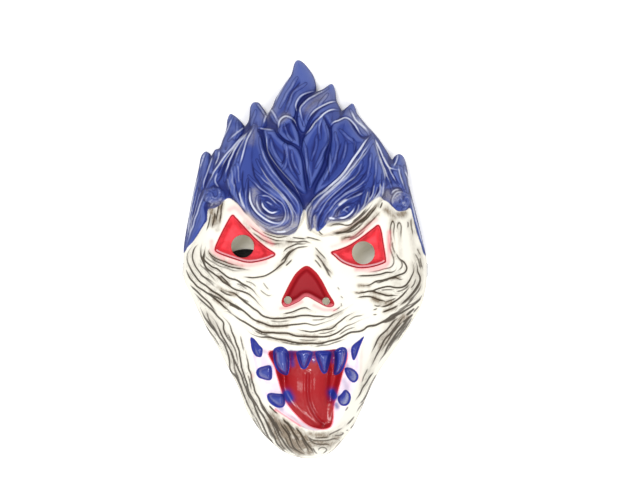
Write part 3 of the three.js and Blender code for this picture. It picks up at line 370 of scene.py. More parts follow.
        ((72.6, 4.4), (74.6, 1), (76, -3), (77.4, -8)), ((76, 1.6), (77.2, -2), (78.2, -7)), ((74.4, 7.6), (76, 4.4), (77, 2)),
        ((64, -30.6), (68, -27), (72, -22.6), (75.6, -18), (77.6, -13)), ((68, -28.6), (72, -25), (75.6, -20.6), (78, -15.4)),
        ((60, -21.4), (64, -20.6), (67.6, -18.6), (70, -15.8)), ((53, -28.6), (57, -27.2), (61, -25)), ((70, -19.6), (72.6, -16), (74, -12)),
        ((45.6, -29.8), (48, -30.8), (50.6, -30.4)), ((45, -33.6), (46.6, -33.2), (48.4, -32.4)), ((45, -36.8), (48, -36.6)),
        ((61, -34.2), (66, -31.4), (70, -28), (74, -23.6)), ((56, -37.6), (61, -35.2), (66, -33)), ((76, -30.6), (74, -33.4), (71.6, -36)),
        ((52, -42.4), (57, -40.4), (62, -37.4)), ((47, -15.6), (52, -14.6), (57, -13.4)), ((50, -20.6), (55, -20), (60, -20.2)),
    )),
    # bridge of the nose, temples and under the brows
    (0.5, 0.7, 0.8, 0, (
        ((6, 8.4), (9, 5.3), (12.2, 2.2), (15.2, -1.4)), ((6, 4.3), (9, 1.2), (12.2, -2.4), (15.2, -6.5), (18.8, -10.6)),
        ((6, 0.2), (8.6, -2.4), (11.6, -6.5)), ((11, -1.4), (13.7, -6), (16.3, -10.6), (18.3, -13.2)),
        ((-18, -6), (-14, -2), (-12, 1.5), (-9, 5.4), (-5, 8)), ((-13, -4.5), (-10, -1.5), (-8, 0.5)), ((-16, -2), (-12.6, 2.6), (-8, 7.6)),
        ((-15, 4), (-11, 8), (-4, 10.2), (3, 10.6)), ((-14, 12), (-6, 11.6), (0, 12), (6, 10)), ((-12, 2), (-8, 6), (-3, 8), (4, 9)),
        ((-54, 39), (-55.5, 34), (-56, 28), (-57, 22)), ((-60, 32), (-60.5, 26), (-62, 20)), ((-57.4, 37), (-58, 31), (-59.4, 24)),
        ((-62.6, 31), (-63.6, 25), (-66, 18)), ((-38, 24), (-33, 19.5), (-28, 16), (-22, 13.6), (-16, 12.4), (-10, 12.6)),
        ((-36, 19), (-31, 15), (-26, 12), (-20, 10.4), (-13, 10.4)), ((-30, 19.4), (-24, 16.2), (-18, 14.8), (-12, 15.2), (-8, 17)),
        ((24, 12.5), (27.5, 14.5), (31.6, 15), (34.7, 17), (38.8, 20.2), (43, 24.3), (46.5, 27.8), (49.6, 31), (51.6, 33)),
        ((28, 12.6), (33, 14), (37, 17), (41, 20.6)), ((16.3, 17), (21.4, 17), (26.5, 18), (31.6, 20.6), (36.8, 24.8), (41, 29), (45, 33.6)),
        ((0, 15), (5, 14), (12, 12)), ((-9, 15), (-4, 13.8), (2, 14)),
    )),
    (0.52, 0.8, 0.85, 0, (
        ((14.5, 22.3), (17, 22.2), (19, 23.2), (23, 23.4), (27, 22.7), (30, 23), (33, 25), (36, 27.4), (40, 31),
         (43, 34.8), (46, 39)),
        ((16, 19), (19, 18.2), (24, 18), (28, 19), (31, 21), (34, 23.6), (38, 26.5), (42, 30.4), (46, 35.4),
         (48, 39.4)),
        ((8.6, 20), (9.6, 18), (11, 16.6), (12.6, 16)), ((3.4, 18.4), (4.2, 21), (4.8, 24)),
        ((35, 23.4), (39, 25.4), (43, 29.4), (46.4, 33.6), (48.6, 37.4)), ((50, 33.6), (50.8, 36), (51.4, 38.6)),
        ((26, 17.2), (31, 18.8), (35.6, 21.4), (40, 25)), ((31, 24.6), (34, 27), (38, 30.6), (41.4, 34.6)),
    )),
)

# Raised edges and strands of the hair: half width, height, pale paint, fainter lines between, curves
HAIR_RIDGES = (
    # left side, falling from the point of the left brow
    (0.6, 0.9, 0.62, 1, (
        ((-34, 88.2), (-37.3, 82.2), (-40.7, 72.9), (-42, 66.2), (-44, 60)),
        ((-36.7, 86.2), (-43.3, 78.2), (-48.7, 68.9), (-52, 59.5), (-53.3, 52)),
        ((-39.3, 84.5), (-47.3, 75.5), (-54, 67.5), (-60.7, 57.5), (-65.5, 48)),
    )),
    (0.55, 0.8, 0.5, 0, (
        ((-48, 95), (-51.3, 87.5), (-54.7, 80.9), (-56.5, 74.5)), ((-39.3, 89), (-45, 84.5), (-51, 79)),
        ((-61, 71), (-63, 64), (-65, 58), (-67.5, 50), (-67, 44)), ((-57, 73), (-58, 67), (-60.5, 61)),
        ((-66, 71), (-68.5, 66), (-70, 59)), ((-57, 47), (-59.5, 52), (-58, 59)),
    )),
    (0.5, 0.7, 0.5, 2, (
        ((-70, 60), (-73, 48), (-75.5, 36), (-77, 26), (-78.5, 16), (-80.5, 6)),
        ((-66, 46), (-68.5, 40), (-71, 33), (-74, 24), (-77, 15), (-80, 7)),
    )),
    # left brow, its grain turning round the knot
    (0.5, 0.9, 0.5, 0, (
        ((-28.7, 87.5), (-26, 83.5), (-24.7, 72.9), (-20.7, 64.9), (-14, 56.9), (-7.3, 48.9), (-2.7, 40.9),
         (-0.7, 34.2)),
    )),
    (0.55, 0.8, 0.42, 1, (
        ((-30, 81), (-28.7, 72.9), (-24.7, 63.5), (-18, 54.2), (-10, 44.9), (-4.7, 36.9), (-3.3, 28.9), (-6, 22.2)),
        ((-32, 66), (-27, 57), (-20, 48.5), (-13, 41), (-7.5, 33), (-5.5, 26), (-9, 20)),
        ((-34, 59.5), (-26, 51.5), (-16.7, 43.5), (-10.7, 35.5), (-7.9, 28.5), (-10, 21.4), (-16.7, 18.4)),
        ((-37.3, 55.5), (-30, 47.5), (-22, 42.2), (-15.3, 36.9), (-12.7, 30.2), (-15.3, 24), (-23.3, 21.2),
         (-30, 23.9)),
    )),
    (0.66, 1.0, 0.9, 0, (
        ((-36.6, 47), (-36.4, 40), (-35, 35.5), (-32, 31.6), (-28, 28), (-25, 26), (-21, 24.3), (-17, 24), (-14, 26.2)),
        ((-28.4, 38.6), (-27.6, 35), (-25, 32.2), (-22, 31), (-19.5, 31.5), (-17, 32)),
    )),
    (0.55, 0.8, 0.7, 0, (
        ((-44, 45), (-42.3, 39.6), (-40.6, 35.6), (-38.6, 32.4)), 
        ((-31, 22), (-28, 20), (-25.5, 18.4)), ((-19, 18.2), (-15.5, 18), (-12, 19.2)),
    )),
    (0.5, 0.6, 0.3, 1, (
        ((-38, 53), (-39.3, 41), (-36.7, 30.6), (-30, 22.6), (-22, 18.6), (-13, 18.4), (-5, 22.6)),
        ((-42, 52), (-43, 42), (-40, 33.5), (-34, 26.5), (-28, 21.5)),
        ((-46, 52), (-47, 44), (-44.5, 38.5), (-40, 33), (-35, 28.5)),
    )),
    (0.5, 0.6, 0.35, 1, (
        ((-52, 55), (-50, 48), (-48, 43)), ((-48.7, 62), (-48, 52), (-46, 44)), ((-45, 64), (-44, 56), (-43.5, 48)),
    )),
    (0.5, 0.6, 0.5, 0, (
        ((-30, 42.6), (-25, 42), (-20.6, 38.6), (-16.6, 35)), ((-26, 38.6), (-23.5, 37.4), (-21, 35.4)),
        ((-31.5, 42), (-31.5, 36), (-28, 30.6), (-22, 27.6), (-15, 28.2)),
    )),
    # locks between the brows and the crown
    (0.6, 0.9, 0.5, 0, (
        ((-31, 87.4), (-25, 86.4), (-20, 86)), 
        ((-18, 85), (-16.8, 92), (-12.7, 95.3), (-7.3, 92.4), (-4.7, 86.2)),
        ((-23.4, 100.6), (-20, 96), (-18.4, 92)), ((-32, 104), (-28.7, 99.5), (-26, 94.9)),
        ((-22.5, 101), (-26, 95), (-28, 89)), ((-8.7, 124.9), (-16.7, 111.5), (-21.3, 101.5)),
        ((7.3, 112.2), (2, 111), (-3.3, 108.2), (-6, 102.2), (-4.7, 95.5)),
        ((15.3, 114), (8.7, 110.4), (2, 106.4), (-3.3, 100.4), (-2, 94.2), (-0.7, 88.9)),
    )),
    (0.55, 0.8, 0.7, 0, (
        ((22, 105.4), (15.3, 104), (10, 101.4), (4.7, 96.9), (2, 92.9)),
        ((23.3, 99.5), (18, 99.5), (12.7, 96.9), (7.3, 91.5), (3.3, 86.2), (-2, 81)),
        ((16.7, 88.2), (19, 91), (22, 92.4), (27.3, 94.2), (32.7, 90.2), (36.7, 83.5), (40.7, 80.9)),
        ((30, 99.5), (34, 92.9), (40.7, 86.2), (42.7, 82.9)),
    )),
    (0.6, 0.9, 0.24, 0, (
        ((-5.3, 121), (-8.7, 115.5), (-12.7, 108.9), (-16.7, 100.9)), ((-14, 76), (-12, 68), (-13, 62), (-15.5, 59)),
        ((0.7, 117), (-4.7, 113.6), (-8.7, 109.6), (-10.7, 103.5), (-12.7, 98.2)),
        ((-12.7, 78.2), (-11.3, 67.5), (-8.7, 59.5), (-4.7, 52.9)), ((-22.6, 80), (-20.7, 72), (-16, 65)),
        ((-13.4, 90), (-12, 84), (-8.6, 79)), ((-9, 72), (-7.4, 64), (-4, 57)), ((-1, 78), (1, 68), (1.4, 58), (3, 50)),
        ((14.7, 88.9), (16, 79.5), (11.6, 70.2), (7, 61)), ((8, 82), (7, 74), (4.4, 66)), ((16, 73), (16.7, 62.2), (13, 52.9)),
        ((11.4, 95), (9.6, 88), (10, 80)), ((23.3, 86.2), (27.3, 82.2), (32.7, 77.5), (33, 72)),
        ((20, 84), (21.6, 76), (20, 66), (17, 58)), ((27, 78), (26.6, 71), (24, 64)), ((35, 95), (38, 90), (42, 85)),
        ((-45, 92), (-45.5, 85), (-47, 80)), ((-33, 99), (-34.4, 94), (-36, 89)), ((15, 110), (11, 105), (9, 101)),
    )),
    # great ridge over the right brow and the line that follows it
    (0.75, 1.5, 1.0, 0, (
        ((43.4, 82.4), (36.7, 73.4), (30, 63.5), (23.3, 54.6), (15.3, 47.5), (8.7, 42.2), (3.3, 36.9), (1, 33)),
    )),
    (0.6, 0.9, 0.8, 0, (
        ((5, 38.5), (1.6, 34), (0.7, 29), (2, 21)),
        ((46, 81.5), (50, 72.9), (54, 63.9), (57, 60.5), (63.3, 59.7)),
    )),
    (0.55, 0.8, 0.36, 1, (
        ((46, 79.5), (40.7, 71.5), (34, 62.2), (27.3, 54.2), (19.3, 47.5), (11.3, 40.9), (6, 34.2), (4, 26.2),
         (5.3, 19.5)),
        ((38, 60), (32, 54), (23.3, 47), (15.3, 39.2), (10, 31), (7.3, 23), (9.4, 17.4)),
        ((43.3, 56.9), (36.7, 49.4), (28.7, 44.9), (21, 38.2), (14, 29.4), (10.4, 22.4)),
    )),
    # right side
    (0.55, 0.8, 0.55, 0, (
        ((46, 79.5), (50, 67.5), (55.3, 54.2), (58, 46.2)), ((53, 68), (57, 58), (62, 50)), ((62, 62), (64, 54), (66, 47)),
        ((66, 62), (69, 52), (71, 42)), ((62, 70), (60.6, 65), (58.6, 61)), ((70, 44), (72, 34), (75, 22), (79, 8), (80, 3)),
        ((72, 44), (75, 32), (78, 18), (80.5, 6)), ((49, 70), (52, 60), (54, 50)),
    )),
    # right brow, its grain turning round the knot
    (0.55, 0.8, 0.34, 1, (
        ((39.3, 46), (34, 42.2), (26, 38.2), (20.7, 33.2), (17.4, 27.9), (14.6, 23.9)),
        ((40, 50), (33, 46), (25, 41.8), (18.6, 36), (14, 29)),
    )),
    (0.5, 0.7, 0.45, 0, (
        ((30.4, 35.4), (27, 34), (24, 31.4)), ((28.6, 31), (26.6, 32.4), (25, 34)),
        ((35.8, 38), (35.4, 33.4), (33, 30), (29.6, 27.6)), ((31, 41), (34, 42.2), (37, 43.4), (39.4, 45.2)),
    )),
    (0.62, 0.9, 0.85, 0, (
        ((22, 27.6), (26, 27.8), (29.6, 29.8), (32, 32.4), (33.4, 35.4)), ((21.6, 35.8), (25, 38), (29, 40)),
        ((15.6, 27.4), (18, 27), (20.4, 27)),
    )),
    (0.55, 0.8, 0.5, 1, (
        ((42, 47), (40.6, 40.6), (39, 35.4), (35, 30.6)), ((46.6, 51), (45, 44), (43, 39.5), (40, 35.4)),
        ((50.4, 52), (49.6, 46), (47.4, 41.4), (44, 37.6)), ((52.4, 52), (51.8, 45), (50.4, 41)),
    )),
    (0.5, 0.6, 0.3, 0, (
        ((38, 65), (35.5, 58), (32, 53)), ((44, 70), (42.6, 60), (41, 52)), ((47.6, 68), (47, 58), (46, 50)),
    )),
    (0.5, 0.6, 0.5, 0, (
        ((44.8, 79.8), (39.2, 71.6), (32.6, 62.4), (25.6, 54.2), (17.6, 47.2), (10.8, 41.4), (5.6, 35.8)),
        ((57.6, 43.6), (60, 46), (63.6, 46.6)), ((59, 34.6), (58, 39), (60, 43.2), (64, 45), (68.6, 43)),
    )),
)

# Cut lines between the strands of the hair: half width, depth, paint, lines between, curves
HAIR_GROOVES = (
    (0.55, 0.8, 0.85, 0, (
        ((-35, 65), (-34.3, 59.5), (-33.3, 55.5), (-30.7, 51), (-26.7, 46.2), (-22.7, 42.2)),
        ((-31.3, 66.2), (-28.7, 60.9), (-25.3, 54.9), (-20.7, 48.9), (-16, 43.5), (-11.3, 37.5), (-8, 31.5)),
        ((-26.7, 74.2), (-25.3, 68.9), (-22, 62.9), (-17.3, 55.5), (-12, 48.2), (-6.7, 41.5), (-2, 34.9)),
        ((-46.7, 55.5), (-46, 49.5), (-44.7, 43.5), (-42.7, 38.2), (-39.3, 32.9)),
        ((-38, 53.5), (-37.7, 47.5), (-37.3, 42.2), (-36, 36.9), (-32.7, 30.9)),
        ((-50, 50.2), (-50, 44.9), (-51.3, 39.5)), ((-52, 67.5), (-53.3, 60.9), (-56, 54.2), (-59.3, 49.5)),
        ((-44, 79.5), (-48.7, 71.5), (-54, 63.5), (-60, 55.5)), ((-41, 60), (-41.6, 53), (-41, 46), (-39, 39)),
        ((-17.3, 84.2), (-14.7, 80.2), (-9.3, 76.9), (-4.7, 76.2)), ((-13.3, 74.2), (-14, 66.2), (-16, 60.9)),
    )),
    (0.55, 0.8, 0.95, 0, (
        ((-37.7, 56), (-37.7, 47), (-37.4, 41), (-36.2, 36.4), (-33.2, 31.4), (-29, 26.8), (-25, 24.3), (-20, 22.7),
         (-16, 23), (-13, 25), (-11.8, 28.4)),
        ((-29.6, 41.6), (-29.7, 37), (-28, 33.4), (-25, 30.6), (-21, 29.7), (-17.4, 30.4)),
        ((-31, 23.4), (-27.4, 20.8), (-24, 19.2), (-20, 17.3), (-16, 16.8), (-12, 18)),
        ((-3, 36), (-3.1, 30), (-3.7, 25), (-5, 20.4), (-7.4, 17.6)), ((-23, 40.8), (-19.6, 39), (-17, 35.8)),
        ((-11.8, 41.4), (-9.6, 36), (-8.2, 31), (-7.6, 26), (-9.2, 22.2)), ((-15, 42), (-12, 37), (-10.4, 32), (-10.6, 26)),
        ((15.5, 26), (20, 26.1), (24, 26.2), (28, 27), (31.4, 29), (33.8, 31.6), (35, 35)),
        ((21.2, 27.4), (21.4, 30.4), (23, 33), (26, 35.8), (29, 37), (32, 37.3), (33.8, 36.4)),
        ((30.8, 41.8), (34, 44), (38, 45.4), (40, 46.6)), ((8.8, 32.4), (5.4, 28.6), (4.5, 24), (3.8, 19.6)),
        ((13, 32), (9.8, 27), (8.8, 22.6), (9, 19)),
    )),
    (0.55, 0.8, 0.85, 0, (
        ((43.6, 77.4), (38.6, 69), (31.9, 60.6), (24.4, 53), (16, 46.2), (7.9, 39.6), (2.2, 32.4)),
        ((40, 62.9), (35, 56.2), (27.5, 49.5), (19.2, 42), (11.7, 36.2), (5, 30.4)),
        ((41.7, 59.5), (36.7, 52.9), (28.3, 46.2), (20.8, 40.4)), ((35.8, 51.2), (30, 47), (25, 43.7)),
        ((42.5, 47.9), (40.8, 41.2), (38.3, 35.4), (37.5, 30.4)), ((46.7, 58.7), (45.8, 51.2), (44.2, 44.5), (41.7, 37.9)),
        ((50.8, 59.5), (50.8, 51.2), (48.3, 44.5), (45.8, 39.5)), ((55, 57.9), (56.7, 51.2), (60, 47)),
        ((50, 72.9), (54.4, 64.4), (57.6, 61.4)), ((12.5, 71.2), (14.2, 66.2), (15.8, 57.9), (15.8, 51.2)),
        ((63.3, 59.5), (64.2, 54.5), (66.7, 47.9), (68.3, 42)), ((66.7, 59.5), (68.3, 51.2), (70.8, 42), (72.5, 35.4)),
        ((31.7, 81.2), (33.3, 74.5), (32.5, 67.9)),
    )),
    (0.5, 0.7, 0.7, 0, (
        ((18, 30), (23.6, 35), (30, 38.4), (36, 40.6)), ((44.4, 48), (42.6, 41.4), (40.6, 37), (37.6, 32.6)),
        ((49, 49), (47.2, 43), (44.8, 38.6), (41.8, 35)), ((53.2, 47), (53.2, 43), (52.6, 39.6)), ((9, 27), (13, 33), (19, 38.6)),
        ((24.4, 33.4), (26.4, 35), (28, 33.6), (26.8, 31)),
        ((24.2, 77.9), (21.7, 69.5), (20.8, 59.5)), ((-68, 60), (-70.6, 48), (-74, 32), (-78, 14)),
        ((-12, 122), (-18, 112), (-22, 104)), ((-3, 118), (-8, 112), (-13, 103)), ((70, 55), (73.6, 40), (77, 24), (79.6, 10)),
    )),
)

# Round cut ends at the temples: centre and radius of the marked part
ROUND_ENDS = ((64, 38.5, 5), (-60, 42, 5.6))
ROUND_END_MARKS = 26

# How far from a line the distance to it is kept
NEAR_REACH = 2.4

# What grows faint down the trimmed side of the sheet
FADES_DOWN_THE_SIDE = ("line", "crest", "crease", "halo", "wash", "thin", "rub", "raise")

# Brown wash rubbed into the low places of the face: path, reach, strength
WASHES = (
    (((-62, -20.6), (-56, -24.8), (-50, -28.6)), 1.6, 0.85), (((-60, -26.2), (-53, -32)), 1.4, 0.75),
    (((-57.5, -18.5), (-52, -21.4), (-46, -23.4)), 1.5, 0.9), (((-57, -11.5), (-50, -16.8)), 1.3, 0.6),
    (((-63, 4), (-57, 0.6), (-50, -2.6), (-42, -4.6)), 1.8, 0.5), (((-74, 2), (-72, -8), (-64, -15)), 4, 0.15),
    (((-66, -36), (-60, -43), (-55, -48)), 2.6, 0.4), (((-50, -62), (-44, -80), (-34, -103)), 3, 0.2),
    (((-31, -41.4), (-22, -44.4), (-12, -44.2)), 1.4, 0.8), (((-20, -39.6), (-6, -38.2)), 1.1, 0.5),
    (((-30, -47.8), (-12, -49.2), (8, -51.4)), 1.3, 0.65), (((-24, -52.2), (-8, -54.8), (12, -55.2)), 1.3, 0.65),
    (((12, -46.6), (20, -44)), 1.1, 0.5), (((16, -38.6), (24, -35)), 1.1, 0.5),
    (((36, -17.4), (42, -17.6)), 1.5, 0.85), (((34, -22), (38, -21.4)), 1, 0.6),
    (((46, -26), (52, -28.8), (57, -28.6)), 2.3, 1.1), (((53, -34.6), (60, -32)), 1.6, 0.85),
    (((44, -21.6), (50, -22.8), (57, -23.8)), 1.3, 0.7), (((66, -38), (58, -46), (50, -57)), 4.2, 0.85),
    (((50, -58), (44, -70), (39, -84)), 3, 0.4), (((76, 6), (77.4, -6), (76, -18)), 2.6, 0.45),
    (((60, -16), (68, -17), (73, -10)), 3, 0.3), (((57, 24), (57.5, 10), (58.6, 2)), 2.2, 0.45),
    (((62, 25), (63, 12), (63.6, 2)), 1.6, 0.35), (((70, 26), (71.6, 12), (74, 0)), 2, 0.35),
    (((57, -12.6), (62, -12.2)), 1.5, 0.8), (((58, 26), (61, 29), (65, 30.6)), 2.2, 0.7),
    (((72, -4), (75, -14), (72, -22), (64, -29)), 3, 0.3), (((54, 33), (60, 29), (66, 30)), 2.4, 1.0),
    (((25, 13.4), (32, 15.6), (40, 21.6), (48, 30)), 1.8, 0.75), (((9, 2.5), (13, -3), (16.6, -9)), 1.9, 0.45),
    (((-18, -5), (-12, 1), (-8, 6)), 1.9, 0.5), (((-40, 24), (-35, 17), (-28, 12.4), (-20, 10.4), (-10, 10.6)), 2.2, 0.6),
    (((-63, 34), (-61, 29), (-60, 24)), 2.8, 1.0), (((-56, 38), (-56.6, 30), (-58, 20)), 2, 0.7),
    (((-21, -105), (-15, -113), (-9, -121), (-3, -128)), 4, 1.35), (((-14, -108), (-7, -117), (-1, -125)), 3.2, 1.2),
    (((-5, -113), (1, -120), (3, -128)), 3.2, 1.25), (((-24, -109), (-19, -118), (-14, -126)), 2.2, 0.9),
    (((-31, -116), (-26, -122)), 1.6, 0.7), (((4, -115.6), (12, -117), (22, -118)), 3.4, 1.0),
    (((6, -122), (15, -122.4), (21, -123)), 3.8, 0.95), (((17, -127), (21, -124)), 3, 0.7),
    (((20, -112), (26, -110)), 3, 0.25), (((-8, -104), (0, -111)), 1.4, 0.5),
    (((22, 17.6), (30, 20), (40, 27.6), (47, 36)), 2, 0.35), (((15, 22.6), (24, 23.2), (30, 23.4)), 1.2, 0.6),
)

# Thin grey-white paint over the blue: path, reach, strength
THIN_PAINT = (
    (((-38, 29), (-30, 23), (-21, 19.6), (-12, 19.6), (-7, 23)), 3, 1.0), (((-24, 27.4), (-16, 26), (-10, 28)), 2.6, 0.45),
    (((-33.6, 45), (-33.6, 39), (-31, 33.6)), 2.8, 0.6), (((15, 25), (22, 25.6), (29, 26.4), (34, 29.4)), 1.5, 0.9),
    (((-5, 28), (-5.6, 22), (-8, 18)), 2.2, 0.5), (((16, 27), (20, 28), (22, 31)), 1.8, 0.4),
    (((3, 34), (2.4, 27), (3, 20)), 2.2, 0.85), (((34, 29), (42, 36), (49, 41)), 2, 0.5),
    (((34, 66), (26, 55.4), (18, 46.8), (11, 40), (6, 34)), 1.2, 0.5), (((6.6, 28), (6.4, 20)), 1.3, 1.0),
    (((54, 43), (58, 41), (61, 44)), 3.2, 0.75), (((-62, 36), (-56, 38.5)), 2, 0.5),
    (((2, 100), (8, 106), (14, 109)), 4, 0.35), (((30, 97), (36, 92), (42, 87)), 3, 0.4),
    (((-27, 96), (-22, 99)), 3, 0.4), (((-12, 96), (-18, 92)), 2.5, 0.35), (((-34, 86), (-36, 78)), 2.5, 0.3),
    (((66, 66), (70, 52), (75, 30)), 2, 0.25),
)

# Pink spray on the white, and blue spray on the red: path, reach, strength
PINK_SPRAY = (
    (((-50, 33), (-46, 34), (-40, 28), (-32, 20), (-22, 10)), 1.8, 0.4), (((-62, 12), (-61, 6), (-54, 1)), 1.6, 0.5),
    (((-50, -1), (-38, -4), (-26, -1.6)), 1.6, 0.4), (((18, 8.6), (30, 13), (40, 20), (48, 26)), 1.6, 0.3),
    (((55.6, 18), (55.4, 4), (54, -3.6), (44, -6.6), (34, -6.6)), 1.6, 0.55), (((-16, -32.4), (-9, -31.4), (-2, -28)), 1.2, 0.5),
    (((6, -30.4), (13, -33.4), (20, -33)), 1.2, 0.5), (((-19, -99.4), (-14, -102.6), (-9, -106), (-3, -110)), 0.9, 1.6),
    (((-36, -53), (-33, -66), (-34, -78)), 1.4, 0.25), (((38, -55), (37, -68), (36, -80)), 1.6, 0.25),
    (((-30, -60), (-26, -64), (-24, -70)), 1.6, 0.5), (((-27, -83), (-18, -84.4)), 2.6, 0.4), (((29, -60), (29.6, -66)), 1.2, 0.4),
)
BLUE_SPRAY = (
    (((-12, -89.4), (-10.4, -92)), 2.9, 1.6), (((18, -88.4), (19.4, -91)), 2.6, 1.5),
    (((20.6, -96.2), (21.4, -98)), 1.6, 0.8), (((25.8, -80.4), (28.4, -86.6)), 2, 0.3),
    (((-9, -61), (-8, -70)), 1.6, 0.8), (((5, -61.5), (6, -67)), 1.5, 0.75), (((18, -61.5), (18.6, -68)), 1.2, 0.6),
    (((-10, -61), (20, -61.4)), 1.3, 0.6), (((-22.6, -71), (-22.6, -76)), 1.5, 0.5), (((28, -70), (27, -74)), 1.4, 0.4),
    (((-24, -93), (-15, -99)), 1.4, 0.35),
)

# Elastic strap, in metres: down the wall from the left temple, in one loose curve inside, up to the right temple
STRAP_ROUTE = (
    (-0.0789, -0.007, 0.026), (-0.0789, -0.007, 0.021), (-0.078, -0.007, 0.0155), (-0.0746, -0.007, 0.0096),
    (-0.0694, -0.007, 0.0046), (-0.0625, -0.0066, 0.0016), (-0.055, -0.0042, 0.0009), (-0.0475, 0, 0.0009),
    (-0.04, 0.0019, 0.0009), (-0.0334, 0.0004, 0.0009), (-0.028, -0.0054, 0.0009), (-0.025, -0.015, 0.0009),
    (-0.0226, -0.0275, 0.0009), (-0.0184, -0.04, 0.0009), (-0.0105, -0.0515, 0.0009), (0.001, -0.06, 0.0009),
    (0.015, -0.0635, 0.0009), (0.028, -0.0605, 0.0009), (0.038, -0.052, 0.0009), (0.045, -0.0405, 0.0009),
    (0.05, -0.028, 0.0009), (0.0555, -0.017, 0.0009), (0.0615, -0.0096, 0.0015), (0.0692, -0.007, 0.0046),
    (0.0746, -0.007, 0.0096), (0.078, -0.007, 0.0155), (0.0789, -0.007, 0.021), (0.0789, -0.007, 0.026),
)


class MaskSizes(PropertyGroup):
    wall: FloatProperty(name="Wall", description="Thickness of the plastic sheet", default=0.0012, unit="LENGTH")
    lattice: FloatProperty(name="Lattice", description="Spacing of the outer mesh", default=0.00066, unit="LENGTH")
    inner_lattice: FloatProperty(name="Inner lattice", description="Spacing of the inner mesh", default=0.0017,
                                 unit="LENGTH")
    groove_depth: FloatProperty(name="Groove depth", description="Share of the carved depth of the face",
                                default=1.0, min=0.0, max=2.0)
    ridge_height: FloatProperty(name="Ridge height", description="Share of the carved height of the hair",
                                default=1.0, min=0.0, max=2.0)


class StrapSizes(PropertyGroup):
    width: FloatProperty(name="Width", description="Width of the elastic band", default=0.010, unit="LENGTH")
    thickness: FloatProperty(name="Thickness", description="Thickness of the elastic band", default=0.001,
                             unit="LENGTH")
    rings: IntProperty(name="Rings", description="Cross sections along the band", default=280, min=40)
    wire: FloatProperty(name="Staple wire", description="Diameter of the staple wire", default=0.0006,
                        unit="LENGTH")


def colour_property(name, description, red, green, blue):
    """A colour property from the red, green and blue that a screen shows, 0 to 255."""
    linear = [((v / 255 + 0.055) / 1.055) ** 2.4 if v > 10 else v / 255 / 12.92 for v in (red, green, blue)]
    return FloatVectorProperty(name=name, description=description, subtype="COLOR", size=3, min=0, max=1,
                               default=linear)


class MaskColours(PropertyGroup):
    skin: colour_property("Skin", "Ivory white of the face", 240, 236, 224)
    groove: colour_property("Groove", "Dark paint in the carved lines", 60, 50, 38)
    wash: colour_property("Wash", "Brown rubbed into low places", 138, 124, 106)
    hair: colour_property("Hair", "Blue of the hair", 50, 68, 143)
    # Deep hair is painted shade: darker blue laid into the hollows of the hair.
    blue_shade: colour_property("Deep hair", "Blue in the hollows of the hair", 28, 40, 108)
    # Light hair is a painted highlight: lighter blue on the raised places of the hair and towards the middle of each
    # tooth.
    blue_highlight: colour_property("Light hair", "Blue rubbed thin on raised places", 96, 112, 176)
    crease: colour_property("Cut lines", "Darkest blue in the cut lines", 20, 26, 84)
    pale: colour_property("Pale edge", "Rubbed edges of the locks", 212, 216, 230)
    thin: colour_property("Thin paint", "Grey where the blue is thin", 172, 168, 168)
    eye: colour_property("Eye", "Pink red round the eye holes", 240, 72, 84)
    edge: colour_property("Edge red", "Dark red at the edge of the red places", 150, 22, 34)
    red: colour_property("Red", "Red of mouth and nose", 160, 12, 20)
    pink: colour_property("Pink", "Pink spray", 255, 140, 150)
    teeth: colour_property("Teeth", "Blue of the teeth", 34, 46, 140)
    gum: colour_property("Gums", "Pale pink of the gums", 238, 218, 230)
    plastic: colour_property("Plastic", "Bare plastic inside", 236, 232, 220)
    strap: colour_property("Strap", "Black elastic", 24, 25, 30)
    wire: colour_property("Wire", "Steel of the staples", 196, 197, 200)


class StageSettings(PropertyGroup):
    camera_height: FloatProperty(name="Camera height", description="Height of the camera over the rim plane",
                                 default=8.0, unit="LENGTH")
    view_width: FloatProperty(name="View width", description="Width of the picture at the mask", default=0.42667,
                              unit="LENGTH")
    sky: FloatProperty(name="Sky", description="Strength of the even light", default=0.4)
    key: FloatProperty(name="Key", description="Power of the key light in watts", default=38)
    inside: FloatProperty(name="Inside", description="Power of the light behind the holes in watts", default=0.0105)


def spline(points, step=0.8, closed=False):
    """Smooth curve through the points, about a step apart."""
    knots = np.array(points, float)
    if closed:
        padded = np.vstack([knots[-1:], knots, knots[:2]])
    else:
        padded = np.vstack([knots[:1], knots, knots[-1:]])
    pieces = []
    for p0, p1, p2, p3 in zip(padded, padded[1:], padded[2:], padded[3:]):
        count = max(1, math.ceil(np.linalg.norm(p2 - p1) / step))
        t = np.arange(count)[:, None] / count
        pieces.append(0.5 * (2 * p1 + (p2 - p0) * t + (2 * p0 - 5 * p1 + 4 * p2 - p3) * t ** 2
                             + (3 * p1 - p0 - 3 * p2 + p3) * t ** 3))
    if not closed:
        pieces.append(knots[-1:])
    return np.vstack(pieces)


def lengths(chain):
    """Distance along a chain at each of its points."""
    return np.concatenate([[0], np.cumsum(np.linalg.norm(np.diff(chain, axis=0), axis=1))])


def evenly(chain, count):
    """The chain again, as count evenly spaced points."""
    run = lengths(chain)
    places = np.linspace(0, run[-1], count)
    return np.column_stack([np.interp(places, run, chain[:, axis]) for axis in range(chain.shape[1])])


def smooth(start, end, value):
    """Eased step from 0 at start to 1 at end."""
    t = np.clip((value - start) / (end - start), 0, 1)
    return t * t * (3 - 2 * t)


def along(profile, y):
    """Value of a profile of (y, value) points, on a smooth curve through them."""
    knots = np.array(profile, float)
    ends = np.vstack([knots[:1], knots, knots[-1:]])
    slope = (ends[2:, 1] - ends[:-2, 1]) / (ends[2:, 0] - ends[:-2, 0])
    i = np.clip(np.searchsorted(knots[:, 0], y) - 1, 0, len(knots) - 2)
    width = knots[i + 1, 0] - knots[i, 0]
    t = np.clip((y - knots[i, 0]) / width, 0, 1)
    return (knots[i, 1] * (1 + 2 * t) * (1 - t) ** 2 + slope[i] * width * t * (1 - t) ** 2
            + knots[i + 1, 1] * t * t * (3 - 2 * t) + slope[i + 1] * width * t * t * (t - 1))


